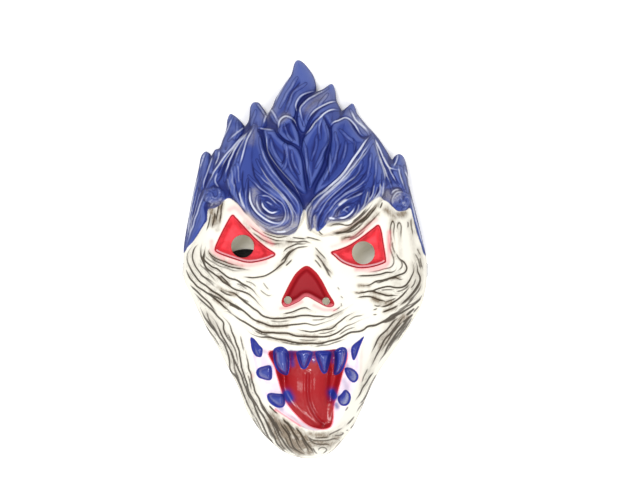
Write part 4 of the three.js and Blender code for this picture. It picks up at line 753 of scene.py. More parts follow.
def blurred(values, radius):
    """Values of a raster, blurred over a radius in millimetres."""
    reach = max(1, round(3 * radius / RASTER))
    weights = np.exp(-0.5 * (np.arange(-reach, reach + 1) * RASTER / radius) ** 2)
    weights /= weights.sum()
    for axis in (0, 1):
        padded = np.pad(values, [(reach, reach) if k == axis else (0, 0) for k in (0, 1)], mode="edge")
        size = values.shape[axis]
        values = sum(w * np.take(padded, range(k, k + size), axis) for k, w in enumerate(weights))
    return values


class Plan:
    """A raster over the mask seen from the front, with the distances that the relief is drawn from."""

    def __init__(self):
        self.x = np.arange(-SHEET_HALF_WIDTH, SHEET_HALF_WIDTH + RASTER, RASTER)
        self.y = np.arange(-SHEET_HALF_LENGTH, SHEET_HALF_LENGTH + RASTER, RASTER)
        self.X, self.Y = np.meshgrid(self.x, self.y)

    def window(self, a, b, reach):
        """The part of the raster within reach of the segment a to b."""
        low = (np.minimum(a, b) - reach - (self.x[0], self.y[0])) / RASTER
        high = (np.maximum(a, b) + reach - (self.x[0], self.y[0])) / RASTER
        i0, j0 = np.maximum(0, low.astype(int))
        i1, j1 = np.maximum(0, high.astype(int) + 2)
        return slice(j0, j1), slice(i0, i1)

    def distance(self, chain, reach):
        """Distance to a chain of points and the share of its length at the nearest place, within reach."""
        best = np.full(self.X.shape, np.inf)
        share = np.zeros(self.X.shape)
        run = lengths(chain)
        for k, (a, b) in enumerate(zip(chain[:-1], chain[1:])):
            near = self.window(a, b, reach)
            dx, dy = b - a
            x = self.X[near] - a[0]
            y = self.Y[near] - a[1]
            t = np.clip((x * dx + y * dy) / max(dx * dx + dy * dy, 1e-9), 0, 1)
            gap = np.hypot(x - dx * t, y - dy * t)
            closer = gap < best[near]
            best[near] = np.where(closer, gap, best[near])
            share[near] = np.where(closer, (run[k] + t * (run[k + 1] - run[k])) / run[-1], share[near])
        return best, share

    def depth(self, outline, reach):
        """Distance inside a closed outline, negative outside, no further than reach."""
        ring = np.vstack([outline, outline[:1]])
        inside = np.zeros(self.X.shape, bool)
        for a, b in zip(ring[:-1], ring[1:]):
            low, high = (a, b) if a[1] < b[1] else (b, a)
            j0, j1 = np.searchsorted(self.y, (low[1], high[1]), side="right")
            if j0 < j1:
                cross = low[0] + (self.y[j0:j1] - low[1]) * (high[0] - low[0]) / (high[1] - low[1])
                inside[j0:j1] ^= self.x[None, :] < cross[:, None]
        gap = np.minimum(self.distance(ring, reach)[0], reach)
        return np.where(inside, gap, -gap)

    def sample(self, values, x, y):
        """Raster values at places in millimetres."""
        u = np.clip((x - self.x[0]) / RASTER, 0, len(self.x) - 1.001)
        v = np.clip((y - self.y[0]) / RASTER, 0, len(self.y) - 1.001)
        i, j = u.astype(int), v.astype(int)
        s, t = u - i, v - j
        low = values[j, i] * (1 - s) + values[j, i + 1] * s
        high = values[j + 1, i] * (1 - s) + values[j + 1, i + 1] * s
        return low * (1 - t) + high * t


def rim_outline(step=0.4):
    """The rim as one closed chain."""
    return np.vstack([spline(run, step)[:-1] for run in RIM_RUNS])


def waved(chain, rng, amount):
    """A hand-carved line: the chain with slow small waves across it."""
    run = lengths(chain)
    direction = np.gradient(chain, axis=0)
    direction /= np.maximum(np.linalg.norm(direction, axis=1), 1e-9)[:, None]
    wave = sum(np.sin(run * 2 * math.pi / rng.uniform(7, 19) + rng.uniform(0, 6.3)) for _ in range(3)) / 3
    return chain + np.column_stack([-direction[:, 1], direction[:, 0]]) * (amount * wave)[:, None]


def strokes(families, rng):
    """Every line of the families with its half width, depth and paint, the fainter lines between included."""
    for half, depth, paint, between, curves in families:
        chains = [spline(curve) for curve in curves]
        for chain in chains:
            yield waved(chain, rng, 0.25), half, depth, paint
        for first, second in zip(chains[:-1], chains[1:]):
            for k in range(between):
                t = (k + 1) / (between + 1)
                middle = evenly(first, 40) * (1 - t) + evenly(second, 40) * t
                start, end = rng.integers(0, 9), rng.integers(31, 40)
                yield waved(middle[start:end], rng, 0.3), half * 0.8, depth * 0.6, paint * 0.75


def end_marks(rng):
    """Short cuts at all angles on the round ends at the temples."""
    for centre_x, centre_y, radius in ROUND_ENDS:
        for _ in range(ROUND_END_MARKS):
            turn, lean = rng.uniform(0, 2 * math.pi, 2)
            out = radius * math.sqrt(rng.uniform())
            place = np.array((centre_x + out * math.cos(turn), centre_y + out * math.sin(turn)))
            reach = np.array((math.cos(lean), math.sin(lean))) * rng.uniform(0.7, 1.7)
            bow = np.array((-reach[1], reach[0])) * rng.uniform(-0.7, 0.7)
            yield spline(np.array((place - reach, place + bow, place + reach))), 0.45, 0.7, rng.uniform(0.12, 0.4)


def drawn_lines(plan, lines):
    """Paint along the lines from 0 to 1, the depth that they are cut to and the distance to the nearest."""
    painted = np.zeros(plan.X.shape)
    carved = np.zeros(plan.X.shape)
    near = np.full(plan.X.shape, NEAR_REACH)
    for chain, half, depth, paint in lines:
        gap, share = plan.distance(chain, NEAR_REACH)
        fullness = np.clip(np.minimum(share / 0.16, (1 - share) / 0.28), 0.1, 1) ** 0.6
        width = half * (0.55 + 0.45 * fullness)
        profile = np.exp(-(gap / width) ** 2)
        painted = np.maximum(painted, paint * fullness * np.exp(-(gap / (1.5 * width)) ** 4))
        carved = np.maximum(carved, depth * fullness * profile)
        near = np.minimum(near, gap + 0.5 * (1 - fullness) + 0.6 * (0.55 - half))
    return painted, blurred(carved, 0.25), near


def sprayed(plan, patches):
    """Soft patches, each a path with its reach and strength."""
    amount = np.zeros(plan.X.shape)
    for path, reach, strength in patches:
        gap = plan.distance(spline(path), 3 * reach)[0]
        amount = np.maximum(amount, strength * np.exp(-(gap / reach) ** 2))
    return amount


def oval(plan, centre_x, centre_y, radius_x, radius_y):
    """Distance from the middle of an oval as a share of its radii."""
    return np.hypot((plan.X - centre_x) / radius_x, (plan.Y - centre_y) / radius_y)


def relief(plan, sizes):
    """Height of the outer face over the rim plane and the fields that its paint follows, in millimetres."""
    rng = np.random.default_rng(SEED)
    edge = along(RIM_HEIGHT, plan.Y)
    side = np.minimum(1, np.abs(plan.X) / along(DOME_HALF_WIDTH, plan.Y))
    dome = edge + (along(CENTRE_PROFILE, plan.Y) - edge) * (1 - side ** 2.3)
    for centre_x, centre_y, radius_x, radius_y, height in SWELLS:
        dome += height * np.exp(-oval(plan, centre_x, centre_y, radius_x, radius_y) ** 2)

    plain = dome.copy()
    fields = {}
    shares = {}
    for name, (outline, depth, slope) in RECESSES.items():
        fields[name] = plan.depth(spline(outline, closed=True), 6)
        shares[name] = smooth(-0.3, slope, fields[name])
        dome -= depth * shares[name]

    path, half, height, end = TONGUE
    gap, share = plan.distance(spline(path), half)
    across = np.minimum(1, gap / (half * (1 - (1 - end) * share ** 2.2)))
    dome += height * shares["throat"] * np.sqrt(1 - across ** 4)
    furrow = plan.distance(spline(TONGUE_FURROW), 4)[0]
    dome += 0.5 * np.exp(-((furrow - 1.9) / 0.8) ** 2) - 1.3 * np.exp(-(furrow / 0.9) ** 2)
    fields["furrow"] = np.minimum(furrow, 4)
    fields["teeth"] = np.full(plan.X.shape, -6.0)
    for outline, below, fall, side in TEETH:
        depth = plan.depth(spline(outline, closed=True), 6)
        inward = np.clip(depth / side, 0, 1)
        tooth = plain - below - fall * (1 - np.sqrt(1 - (1 - inward) ** 2))
        dome = np.where(depth > 0, np.maximum(dome, tooth), dome)
        fields["teeth"] = np.maximum(fields["teeth"], depth)

    for outline, lift, reach in LOCKS:
        depth = plan.depth(spline(outline, closed=True), reach * 2.2)
        dome += lift * smooth(-0.4, 2.2, depth) * np.exp(-np.maximum(0, depth - 2.2) / reach)
    for centre_x, centre_y, radius_x, radius_y, height in STUBS:
        dome += height * (1 - smooth(0.72, 1.05, oval(plan, centre_x, centre_y, radius_x, radius_y)))
    for path, half, height in CURLS:
        gap, share = plan.distance(spline(path), half)
        ends = np.minimum(1, 6 * np.minimum(share, 1 - share))
        dome += height * np.clip(1 - (gap / half) ** 2, 0, 1) * ends

    fields["line"], grooves, fields["near"] = drawn_lines(plan, strokes(FACE_GROOVES, rng))
    fields["crest"], ridges, fields["beside"] = drawn_lines(plan, (*strokes(HAIR_RIDGES, rng), *end_marks(rng)))
    fields["crease"], valleys, fields["cut"] = drawn_lines(plan, strokes(HAIR_GROOVES, rng))
    fields["hair"] = plan.depth(spline(HAIR_BORDER, closed=True), 6)
    in_hair = smooth(-1, 1, fields["hair"])
    dome += (sizes.ridge_height * ridges - sizes.groove_depth * valleys) * in_hair
    dome -= sizes.groove_depth * grooves * (1 - in_hair)

    fields["wash"] = sprayed(plan, WASHES)
    fields["thin"] = sprayed(plan, THIN_PAINT)
    fields["pink"] = sprayed(plan, PINK_SPRAY)
    fields["blue"] = sprayed(plan, BLUE_SPRAY)

    rim = plan.depth(rim_outline(), EDGE_ROLL)
    inward = np.clip(rim / EDGE_ROLL, 0, 1)
    outer = edge + (dome - edge) * np.sqrt(1 - (1 - inward) ** 2)
    fields["halo"] = blurred(fields["line"], 1.6)
    fields["rub"] = outer - blurred(outer, 0.9)
    fields["raise"] = outer - blurred(outer, 2.6)
    # How steeply the face falls towards the hair, so how squarely a wall faces the key light; the paint uses it for
    # painted highlights
    fields["lower"] = -np.gradient(outer, RASTER, axis=0)
    return edge, outer, rim, fields


def inner_face(outer, wall):
    """Height of the inner face: softer than the outer one, and everywhere a wall's thickness behind it."""
    rows, columns = np.gradient(outer, RASTER)
    steepness = np.minimum(2.5, np.sqrt(1 + rows ** 2 + columns ** 2))
    lowest = outer
    for shift in (-3, 3):
        for axis in (0, 1):
            lowest = np.minimum(lowest, np.roll(outer, shift, axis))
    return blurred(lowest, 0.9) - wall * blurred(steepness, 1.5)


def inset_outline(outline, amount):
    """The closed outline moved inwards."""
    before = outline - np.roll(outline, 1, axis=0)
    after = np.roll(outline, -1, axis=0) - outline
    before /= np.linalg.norm(before, axis=1)[:, None]
    after /= np.linalg.norm(after, axis=1)[:, None]
    normal = np.column_stack([before[:, 1] + after[:, 1], -before[:, 0] - after[:, 0]])
    normal /= np.linalg.norm(normal, axis=1)[:, None]
    stretch = np.maximum(0.6, normal[:, 0] * before[:, 1] - normal[:, 1] * before[:, 0])
    return outline + normal * (amount / stretch)[:, None]


def add_loop(bm, points, heights):
    """A closed loop of edges through points in the plan, each at its height."""
    verts = [bm.verts.new((x, y, z)) for (x, y), z in zip(points, heights)]
    edges = [bm.edges.new((a, b)) for a, b in zip(verts, verts[1:] + verts[:1])]
    return verts, edges


def extrude_loop(bm, verts, edges, points, z):
    """Extrudes a closed loop, its vertices in order, to new places, and returns the new loop the same way."""
    made = bmesh.ops.extrude_edge_only(bm, edges=edges)["geom"]
    fresh = {item for item in made if isinstance(item, bmesh.types.BMVert)}
    partner = {}
    for vert in fresh:
        for edge in vert.link_edges:
            other = edge.other_vert(vert)
            if other not in fresh:
                partner[other] = vert
    verts = [partner[vert] for vert in verts]
    for vert, (x, y), height in zip(verts, points, z):
        vert.co = (x, y, height)
    linked = {frozenset(item.verts): item for item in made if isinstance(item, bmesh.types.BMEdge)}
    return verts, [linked[frozenset((a, b))] for a, b in zip(verts, verts[1:] + verts[:1])]


def add_lattice(bm, step, keep):
    """A square lattice over the mask, cut back to where keep(x, y) is true. Returns its vertices and border."""
    columns = round(2 * SHEET_HALF_WIDTH / step)
    rows = round(2 * SHEET_HALF_LENGTH / step)
    size = Matrix.Diagonal((2 * SHEET_HALF_WIDTH, 2 * SHEET_HALF_LENGTH, 1, 1))
    verts = bmesh.ops.create_grid(bm, x_segments=columns, y_segments=rows, size=0.5, matrix=size)["verts"]
    places = np.array([vert.co.xy for vert in verts])
    kept = keep(places[:, 0], places[:, 1])
    bmesh.ops.delete(bm, geom=[v for v, stays in zip(verts, kept) if not stays], context="VERTS")
    verts = [v for v, stays in zip(verts, kept) if stays]
    while True:
        loose = [v for v in verts if sum(e.is_boundary for e in v.link_edges) > 2 or not v.link_faces]
        if not loose:
            break
        gone = set(loose)
        verts = [v for v in verts if v not in gone]
        bmesh.ops.delete(bm, geom=loose, context="VERTS")
    border = list({e for v in verts for e in v.link_edges if e.is_boundary})
    return verts, border


def skin_between(bm, plan, step, rim_edges, hole_loops, clear):
    """The lattice of one face of the sheet, joined by rings of triangles to its rim loop and hole loops."""
    def keep(x, y):
        kept = clear(x, y) > 0.6 * step
        for (hole_x, hole_y), radius, _ in hole_loops:
            kept &= np.hypot(x - hole_x, y - hole_y) > radius + 0.6 * step
        return kept

    verts, border = add_lattice(bm, step, keep)
    outer_border = []
    around = [[] for _ in hole_loops]
    for edge in border:
        middle = (edge.verts[0].co + edge.verts[1].co) / 2
        for k, ((hole_x, hole_y), radius, _) in enumerate(hole_loops):
            if math.hypot(middle.x - hole_x, middle.y - hole_y) < radius + 2.5 * step:
                around[k].append(edge)
                break
        else:
            outer_border.append(edge)
    for near, loop in [(outer_border, rim_edges)] + [(near, loop[2]) for near, loop in zip(around, hole_loops)]:
        heights = {vert: vert.co.z for edge in loop for vert in edge.verts}
        for vert in heights:
            vert.co.z = 0
        bmesh.ops.triangle_fill(bm, use_beauty=True, edges=near + loop, normal=(0, 0, 1))
        for vert, height in heights.items():
            vert.co.z = height
    return verts


def formed_sheet(plan, edge, outer, inner, rim, sizes):
    """The whole closed sheet in millimetres: outer face, rim, inner face and the walls of the holes."""
    wall = sizes.wall / MM
    step = sizes.lattice / MM
    outline = evenly(np.vstack([rim_outline(), rim_outline()[:1]]), 1101)[:-1]
    bm = bmesh.new()
    top_z = plan.sample(edge, *outline.T)
    top = add_loop(bm, outline, top_z)

    loop = top
    for depth in (0.1, 0.32, 0.7, 1.2):
        moved = inset_outline(outline, depth)
        spare = np.clip(plan.sample(rim, *moved.T) / depth, 0.3, 1)
        moved = outline + (moved - outline) * spare[:, None]
        loop = extrude_loop(bm, *loop, moved, plan.sample(outer, *moved.T))
    skin_edges = loop[1]
    loop = top
    for share in (0.8, 0.6, 0.4, 0.2, 0.05, 0):
        loop = extrude_loop(bm, *loop, outline, top_z * share)
    inside = inset_outline(outline, wall)
    inside_z = plan.sample(inner, *inside.T)
    for share in (0, 0.25, 0.5, 0.75, 1):
        loop = extrude_loop(bm, *loop, inside, inside_z * share)
    inner_edges = loop[1]

    holes = [(place, EYE_HOLE_RADIUS, 64) for place in EYE_HOLES] + [(place, NOSTRIL_RADIUS, 32) for place in NOSTRILS]
    outer_holes = []
    inner_holes = []
    for (x, y), radius, count in holes:
        turn = np.linspace(0, 2 * math.pi, count, endpoint=False)
        circle = np.column_stack([x + radius * np.cos(turn), y + radius * np.sin(turn)])
        loop = add_loop(bm, circle, plan.sample(outer, *circle.T))
        outer_holes.append(((x, y), radius, loop[1]))
        loop = extrude_loop(bm, *loop, circle, plan.sample(inner, *circle.T))
        inner_holes.append(((x, y), radius, loop[1]))

    def clear_outer(x, y):
        return plan.sample(rim, x, y) - 1.2

    def clear_inner(x, y):
        return plan.sample(rim, x, y) - wall - 0.4

    outer_skin = skin_between(bm, plan, step, skin_edges, outer_holes, clear_outer)
    inner_skin = skin_between(bm, plan, sizes.inner_lattice / MM, inner_edges, inner_holes, clear_inner)
    for skin, height in ((outer_skin, outer), (inner_skin, inner)):
        places = np.array([vert.co.xy for vert in skin])
        for vert, z in zip(skin, plan.sample(height, *places.T)):
            vert.co.z = z
    bmesh.ops.recalc_face_normals(bm, faces=bm.faces[:])
    return bm


def new_piece(name, bm, finish):
    """A piece from a bmesh, smooth, with its finish."""
    mesh = bpy.data.meshes.new(name)
    bm.to_mesh(mesh)
    bm.free()
    mesh.shade_smooth()
    piece = bpy.data.objects.new(name, mesh)
    bpy.context.scene.collection.objects.link(piece)
    piece.data.materials.append(finish)
    return piece


def add_field(mesh, name, values):
    """One number for each vertex, for the finish to read."""
    mesh.attributes.new(name, "FLOAT", "POINT").data.foreach_set("value", np.asarray(values, np.float32))


class Wire:
    """One output in a finish. Arithmetic on it adds Math nodes."""

    def __init__(self, finish, output):
        self.finish = finish
        self.output = output

    def math(self, operation, *values):
        return self.finish.node("ShaderNodeMath", {"operation": operation}, values)

    def __add__(self, other):
        return self.math("ADD", self, other)

    def __sub__(self, other):
        return self.math("SUBTRACT", self, other)

    def __rsub__(self, other):
        return self.math("SUBTRACT", other, self)

    def __mul__(self, other):
        return self.math("MULTIPLY", self, other)

    def __truediv__(self, other):
        return self.math("DIVIDE", self, other)

    __radd__ = __add__
    __rmul__ = __mul__

    def lower(self, other):
        return self.math("MINIMUM", self, other)

    def higher(self, other):
        return self.math("MAXIMUM", self, other)

    def clamped(self):
        return self.finish.node("ShaderNodeClamp", {}, [self])

    def wave(self):
        return self.math("SINE", self)

    def between(self, start, end):
        """Eased step from 0 at start to 1 at end."""
        return self.finish.node("ShaderNodeMapRange", {"interpolation_type": "SMOOTHSTEP"},
                                {"Value": self, "From Min": start, "From Max": end})


class Finish:
    """A material under construction."""

    def __init__(self, name, **constants):
        self.material = bpy.data.materials.new(name)
        self.material.use_nodes = True
        self.nodes = self.material.node_tree.nodes
        self.shader = self.nodes["Principled BSDF"]
        self.join(self.shader.inputs, constants)

    def join(self, sockets, values):
        """Sets or links sockets from a dict of names or a list in order."""
        pairs = values.items() if isinstance(values, dict) else enumerate(values)
        for key, value in pairs:
            if isinstance(value, Wire):
                self.material.node_tree.links.new(value.output, sockets[key])
            elif value is not None:
                colour = sockets[key].type == "RGBA" and len(value) == 3
                sockets[key].default_value = (*value, 1) if colour else value

    def node(self, kind, settings, values, output=0):
        """Adds a node: its type, its settings, then the values or links of its sockets."""
        node = self.nodes.new(kind)
        for key, value in settings.items():
            setattr(node, key, value)
        self.join(node.inputs, values)
        return Wire(self, node.outputs[output])

    def mix(self, factor, first, second):
        """Colour from first to second."""
        settings = {"data_type": "RGBA", "clamp_factor": True}
        node = self.nodes.new("ShaderNodeMix")
        for key, value in settings.items():
            setattr(node, key, value)
        self.join(node.inputs, {0: factor, 6: first, 7: second})
        return Wire(self, node.outputs[2])

    def field(self, name):
        return self.node("ShaderNodeAttribute", {"attribute_name": name}, {}, 2)

    def place(self):
        return self.node("ShaderNodeTexCoord", {}, {}, 3)

    def noise(self, scale, detail=3.0, roughness=0.55, stretch=(1, 1, 1)):
        """Noise on the object's own coordinates, scale in waves a metre, about 0.5."""
        place = self.node("ShaderNodeVectorMath", {"operation": "MULTIPLY"}, [self.place(), stretch])
        values = {"Vector": place, "Scale": scale, "Detail": detail, "Roughness": roughness}
        return self.node("ShaderNodeTexNoise", {}, values)

    def bump(self, height, distance, strength=1.0):
        """Makes the surface uneven by a height field, distance in metres."""
        values = {"Strength": strength, "Distance": distance, "Height": height}
        self.join(self.shader.inputs, {"Normal": self.node("ShaderNodeBump", {}, values)})

    def paint(self, **sockets):
        """Sets the shader's Base Color and other varying sockets, underscores for spaces."""
        self.join(self.shader.inputs, {key.replace("_", " "): value for key, value in sockets.items()})


def painted_plastic(colours):
    """Sprayed and rubbed paint on a white plastic sheet."""
    finish = Finish("painted_plastic", **{"IOR": 1.48, "Coat Roughness": 0.08, "Specular IOR Level": 0.24})
    fine = finish.noise(1400, 3)
    soft = finish.noise(160, 4)
    broad = finish.noise(38, 3)
    speck = finish.noise(3200, 2)
    thin = finish.field("thin")
    hair = (finish.field("hair") + (fine - 0.5) * 0.7 + (soft - 0.5) * thin * 2) / (1 + thin * 2.5)
    in_hair = hair.between(-0.35, 0.35)
    raised = finish.field("raise")
    rub = finish.field("rub")

    # face: a crisp dark core in each line, fainter lines beside it, brown rubbed in between
    near = finish.field("near") + (fine - 0.5) * 0.3 + (soft - 0.5) * 0.4
    patchy = finish.noise(260, 3).between(0.42, 0.6)
    halo = finish.field("halo") * (0.5 + soft * 0.9) - rub * 0.5
    core = finish.field("line") * near.between(0.9, 0.35) * (0.7 + soft * 0.5)
    side = near.between(0.9, 1.15) * near.between(1.55, 1.25) * (halo * 2.4).clamped() * patchy
    wash = finish.field("wash") * (0.75 + raised.between(0.3, -0.5) * 0.3) * (0.6 + soft.between(0.3, 0.6) * 0.5)
    wash = wash * (0.8 + finish.noise(700, 3, stretch=(1, 0.5, 1)).between(0.35, 0.6) * 0.35) * 1.15 - rub.higher(0) * 0.6
    skin = finish.mix(broad.between(0.4, 0.7) * 0.5, colours.skin, (0.93, 0.905, 0.82))
    skin = finish.mix((halo * 0.54 + wash * 0.95).clamped(), skin, colours.wash)
    skin = finish.mix((core.between(0.05, 0.8) + side * 0.5).clamped() * 0.94, skin, colours.groove)

    # hair: painted shade, darker blue, in its hollows and a painted highlight, lighter blue, on its raised places; then
    # thin paint, cut lines and pale rubbed edges
    blue = finish.mix(raised.between(-0.1, -0.9), colours.hair, colours.blue_shade)
    # painted highlight: lighter blue on the raised places of the hair
    blue = finish.mix(raised.between(0.1, 0.8) * broad.between(0.3, 0.6) * 0.6, blue, colours.blue_highlight)
    # painted shade again: darker blue in the narrow hollows between strands
    blue = finish.mix(rub.between(-0.03, -0.2) * 0.75, blue, colours.blue_shade)
    mottled = finish.noise(700, 3)
    worn = thin * (0.45 + soft * 0.9) * (0.6 + mottled.between(0.3, 0.6) * 0.4)
    blue = finish.mix(worn.clamped(), blue, colours.thin)
    beside = finish.field("beside") + (fine - 0.5) * 0.3
    dark = beside.between(0.75, 1.05) * beside.between(1.7, 1.25) * 0.65
    dark = dark.higher(finish.field("crease") * (finish.field("cut") + (fine - 0.5) * 0.3).between(0.75, 0.25))
    blue = finish.mix(dark * (0.6 + soft * 0.6), blue, colours.crease)
    crest = finish.field("crest") * beside.between(0.85, 0.2) * (0.65 + broad * 0.8 + thin * 0.5)
    crest = crest + (fine - 0.5) * 0.25 + (soft - 0.5) * 0.25
    blue = finish.mix(crest.between(0.1, 0.85), blue, colours.pale)
    colour = finish.mix(in_hair, skin, blue)

    # pink spray round the red places
    pink = finish.field("pink") * (0.5 + soft) * (1 - in_hair)
    colour = finish.mix(pink.clamped(), colour, colours.pink)

    # eyes, nose and mouth
    eye = finish.field("eye_left").higher(finish.field("eye_right")) + (fine - 0.5) * 0.4
    eye_red = finish.mix(soft.between(0.35, 0.7) * 0.5, colours.eye, colours.red)
    colour = finish.mix(eye.between(-1.1, 0.1), colour, colours.pink)
    colour = finish.mix(eye.between(-0.4, -0.1), colour, colours.edge)
    colour = finish.mix(eye.between(0.35, 0.8), colour, eye_red)
    # lower: walls that face up towards the key light; pale pink there on the eye walls is a painted highlight
    lower = finish.field("lower").between(0.35, 1.1) * (0.5 + soft * 0.6)
    colour = finish.mix(eye.between(0.5, 0.9) * eye.between(2.0, 1.2) * lower, colour, (1, 0.72, 0.78))
    nose = finish.field("nose") + (fine - 0.5) * 0.5
    # painted highlight: lighter red on the walls of the nose recess, lightest where they face up; painted shade: dark
    # red deep in its middle
    lit_wall_red = finish.mix(lower, colours.red, (1.0, 0.32, 0.38))
    nose_red = finish.mix(nose.between(1.4, 3.0), finish.mix(0.3, lit_wall_red, colours.eye), colours.red)
    nose_red = finish.mix(nose.between(2.0, 3.4) * 0.95, nose_red, colours.edge)
    # pink spray round the nose, made stronger where its edge faces up, a painted highlight
    colour = finish.mix(nose.between(-0.8, 0.1) * (0.4 + lower * 0.6), colour, colours.pink)
    colour = finish.mix(nose.between(-0.3, 0.1), colour, colours.edge)
    colour = finish.mix(nose.between(0.1, 0.6), colour, nose_red)
    mouth = finish.field("mouth") + (fine - 0.5) * 0.6
    gum = finish.mix(soft.between(0.35, 0.65) * 0.5, colours.gum, (0.98, 0.93, 0.95))
    colour = finish.mix(mouth.between(0.2, 1.2), colour, gum)
    throat = finish.field("throat") + (fine - 0.5) * 0.5 + (soft - 0.5) * 0.8
    colour = finish.mix(throat.between(-0.9, 0.1) * mouth.between(0.2, 1.0), colour, colours.pink)
    red = finish.mix(finish.field("furrow").between(1.4, 0.2) * 0.6 + 0.2, colours.red, colours.edge)
    colour = finish.mix(throat.between(-0.1, 0.5), colour, red)
    spray = finish.field("blue") * (0.7 + fine * 0.6)
    colour = finish.mix(spray.clamped() * mouth.between(-1.5, 0), colour, colours.teeth)
    teeth = finish.field("teeth")
    tooth = (teeth + (fine - 0.5) * 0.4).between(-0.35, 0.1) * mouth.between(-0.9, 0.1)
    # painted highlight: the middle of each tooth lighter blue
    tooth_blue = finish.mix(teeth.between(1.6, 4.5) * 0.3, colours.teeth, colours.blue_highlight)
    colour = finish.mix(tooth, colour, tooth_blue)

    inside = finish.field("inside")
    colour = finish.mix(inside, colour, colours.plastic)
    up = finish.node("ShaderNodeSeparateXYZ", {}, [finish.place()], 1)
    wet = up.between(-0.088, -0.096).higher(up.between(-0.08, -0.073)) * 0.75 + 0.25
    glossy = (throat.between(0.6, 1.6) * (1 - tooth) * wet).higher(tooth * teeth.between(0.7, 1.7)) * (1 - inside)
    roughness = 0.62 - in_hair * 0.04 - glossy * 0.2 + (soft - 0.5) * 0.1
    finish.paint(Base_Color=colour, Roughness=roughness, Coat_Weight=glossy)
    ripple = finish.noise(300, 1) * glossy * (8 - tooth * 3)
    grain = (fine * 0.55 + speck * 0.25 + soft * 0.8) * (1 - glossy * 0.85)
    finish.bump(grain + ripple, 0.00018, 0.55)
    return finish.material


def knitted_elastic(colours):
    """Black elastic: ribs along the band, crossed by the stitches that hold the rubber."""
    finish = Finish("knitted_elastic", **{"Sheen Weight": 0.25, "Sheen Roughness": 0.4, "Specular IOR Level": 0.3})
    ribs = (finish.field("across") * (2 * math.pi / 0.00125)).wave()
    stitches = (finish.field("along") * (2 * math.pi / 0.0009) + ribs * 0.9).wave()
    fuzz = finish.noise(5200, 2)
    weave = ribs * 0.5 + stitches * 0.35 + fuzz * 0.5
    colour = finish.mix(weave.between(-0.7, 0.9), (0.004, 0.0045, 0.006), colours.strap)
    finish.paint(Base_Color=colour, Roughness=0.78 + fuzz * 0.15)
    finish.bump(weave, 0.00016, 0.8)
    return finish.material


def staple_steel(colours):
    """Drawn steel wire with a thin zinc coat."""
    finish = Finish("staple_steel", Metallic=1.0)
    drawn = finish.noise(2600, 3, stretch=(1, 0.12, 1))
    spots = finish.noise(900, 2)
    colour = finish.mix(spots.between(0.45, 0.75) * 0.4, colours.wire, (0.42, 0.41, 0.39))
    finish.paint(Base_Color=colour, Roughness=0.24 + drawn * 0.16)
    finish.bump(drawn, 0.00003, 0.5)
    return finish.material


def glowing_floor_paper(colours):
    """Matt white paper, glowing outside an oval round the mask: painted light that clears the mask's shadow from the
    floor.
    """
    finish = Finish("glowing_floor_paper", **{"Specular IOR Level": 0.1})
    grain = finish.noise(300, 3)
    finish.paint(Base_Color=finish.mix(grain * 0.3, (0.94, 0.94, 0.935), (0.9, 0.9, 0.895)), Roughness=0.9)
    # painted light: the floor shines by itself outside the mask, but not under it
    away = finish.node("ShaderNodeVectorMath", {"operation": "MULTIPLY"}, [finish.place(), (1 / 0.078, 1 / 0.13, 0)])
    away = finish.node("ShaderNodeVectorMath", {"operation": "LENGTH"}, [away], 1)
    glow = away.between(0.7, 1.0)
    finish.paint(Emission_Color=finish.mix(glow, (0, 0, 0), (1, 1, 1)))
    finish.shader.inputs["Emission Strength"].default_value = 0.36
    return finish.material


def swept(centres, across, section):
    """A closed tube in a bmesh: a section of (across, up) points carried along centres, with both ends filled."""
    bm = bmesh.new()
    along_band = bm.verts.layers.float.new("along")
    across_band = bm.verts.layers.float.new("across")
    tangents = np.gradient(centres, axis=0)
    tangents /= np.linalg.norm(tangents, axis=1)[:, None]
    ups = np.cross(tangents, across)
    run = lengths(centres)
    ends = []
    for k, (centre, side, up) in enumerate(zip(centres, across, ups)):
        places = np.array([centre + side * u + up * v for u, v in section])
        if k:
            loop = extrude_loop(bm, *loop, places[:, :2], places[:, 2])
        else:
            loop = add_loop(bm, places[:, :2], places[:, 2])
        for vert, (u, _) in zip(loop[0], section):
            vert[along_band] = run[k]
            vert[across_band] = u
        if k in (0, len(centres) - 1):
            ends += loop[1]
    bmesh.ops.holes_fill(bm, edges=ends, sides=0)
    bmesh.ops.recalc_face_normals(bm, faces=bm.faces[:])
    return bm


def band_sides(centres):
    """Level direction across the band at each of its centres."""
    tangents = np.gradient(centres, axis=0)
    sides = np.column_stack([-tangents[:, 1], tangents[:, 0], np.zeros(len(centres))])
    weak = np.linalg.norm(sides, axis=1) < 0.05 * np.linalg.norm(tangents, axis=1)
    sides[weak] = (0, 1, 0)
    return sides / np.linalg.norm(sides, axis=1)[:, None]


